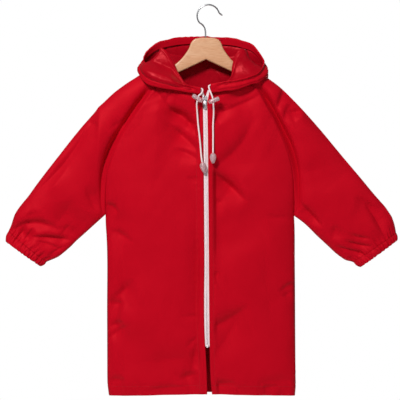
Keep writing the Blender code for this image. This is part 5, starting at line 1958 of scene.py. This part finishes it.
# %% Hanger
outline = bpy.data.curves.new("hanger_outline", "CURVE")
outline.dimensions = "2D"
outline.fill_mode = "BOTH"
outline.extrude = (HANGER_THICKNESS / 2 - HANGER_EDGE) * MM
outline.bevel_depth = HANGER_EDGE * MM
outline.bevel_resolution = 4
outline.offset = -HANGER_EDGE * MM
spline = outline.splines.new("POLY")
spline.points.add(len(hanger_loop) - 1)
for spot, (x, z) in zip(spline.points, hanger_loop):
    spot.co = (x, z, 0, 1)
spline.use_cyclic_u = True
flat_board = bpy.data.objects.new("hanger_flat", outline)
bpy.context.scene.collection.objects.link(flat_board)
bpy.context.view_layer.update()
evaluated = flat_board.evaluated_get(bpy.context.evaluated_depsgraph_get())
bm = bmesh.new()
bm.from_mesh(evaluated.to_mesh())
bpy.data.objects.remove(flat_board)
bmesh.ops.remove_doubles(bm, verts=bm.verts, dist=1e-6)
stand_up = Matrix.Translation(TO_FRAME) @ Matrix.Rotation(math.radians(90), 4, "X")
bmesh.ops.transform(bm, verts=bm.verts, matrix=stand_up)
bmesh.ops.recalc_face_normals(bm, faces=bm.faces)
hanger = finished(bm, "hanger_board")
hanger.data.set_sharp_from_angle(angle=math.radians(50))
dressed(hanger, beech(), stands_for=["hanger_wood"])
print("board:", tuple(round(size) for size in hanger.dimensions / MM), "mm")

# %% Hook
bow_z = HOOK_WIRE / 2 - HOOK_BOW_RADIUS
bow = [
    (HOOK_TOP_X + HOOK_BOW_RADIUS * math.cos(turn), bow_z + HOOK_BOW_RADIUS * math.sin(turn))
    for turn in np.radians(HOOK_BOW_START - HOOK_BOW_TURN * np.linspace(0, 1, 29))
]
hook_line = along(standing([*HOOK_STEM, *bow, HOOK_TIP]), np.linspace(0, 1, 110)) / MM
hook_length = np.linalg.norm(np.diff(hook_line, axis=0), axis=1).sum()


def blunt_end(turn, travel):
    """The wire's end is ground round, over half its thickness."""
    left = np.clip((hook_length - travel) / (HOOK_WIRE / 2), 0, 1)
    return HOOK_WIRE / 2 * (np.sqrt(1 - (1 - left) ** 2) - 1) * (1 - HOOK_END_FLAT)


hook = tube("hanger_wire_hook", hook_line, HOOK_WIRE / 2, 16, blunt_end)
dressed(hook, wire_finish, stands_for=["hanger_hook"])
print("hook wire:", round(hook_length), "mm")

# %% [markdown]
# ## Studio
# A large soft light from the upper left shapes the folds, a weaker one fills from the right, and
# one behind keeps the back readable.  The surroundings light the jacket as a grey room would, and
# look white behind it.  The floor is plain and pale, well below the hem.

# %% Floor
FLOOR_RADIUS, FLOOR_Z = 1.6, -1.3
bm = bmesh.new()
bmesh.ops.create_circle(bm, cap_ends=True, segments=96, radius=FLOOR_RADIUS)
bmesh.ops.translate(bm, verts=bm.verts, vec=(VIEW_CENTRE.x, 0, FLOOR_Z))
floor = finished(bm, "floor")
matt = new_material("matt_floor", Base_Color=linear("#f1f0ee"), Roughness=0.9)[0]
floor.data.materials.append(matt)
print("floor:", -FLOOR_Z, "m below the hook's top")

# %% Lights
LIT_Z = -0.38


def soft_light(name, place, size, power):
    """A square light that faces the jacket's middle."""
    data = bpy.data.lights.new(name, "AREA")
    data.size = size
    data.energy = power
    made = bpy.data.objects.new(name, data)
    made.location = place
    aim = Vector((VIEW_CENTRE.x, 0, LIT_Z)) - Vector(place)
    made.rotation_euler = aim.to_track_quat("-Z", "Y").to_euler()
    bpy.context.scene.collection.objects.link(made)


soft_light("key_light", (-1.2, -2.8, 1.9), 0.7, 123)
soft_light("fill_light", (2.4, -2.8, 0.6), 1.8, 14)
soft_light("back_light", (0.6, 3.0, 0.3), 2.0, 42)
print("lights:", [data.name for data in bpy.data.lights])

# %% Surroundings
world = bpy.data.worlds.new("studio")
world.use_nodes = True
bpy.context.scene.world = world
tree = world.node_tree
grey_room = tree.nodes["Background"]
grey_room.inputs["Color"].default_value = (1, 1, 1, 1)
grey_room.inputs["Strength"].default_value = 0.12
white_behind = add_node(
    tree, "ShaderNodeBackground", inputs={"Color": (1, 1, 1, 1), "Strength": 1.0}
)
seen = add_node(tree, "ShaderNodeLightPath")
mix = add_node(
    tree,
    "ShaderNodeMixShader",
    inputs={0: seen.outputs["Is Camera Ray"], 1: grey_room.outputs[0], 2: white_behind.outputs[0]},
)
tree.links.new(mix.outputs[0], tree.nodes["World Output"].inputs["Surface"])
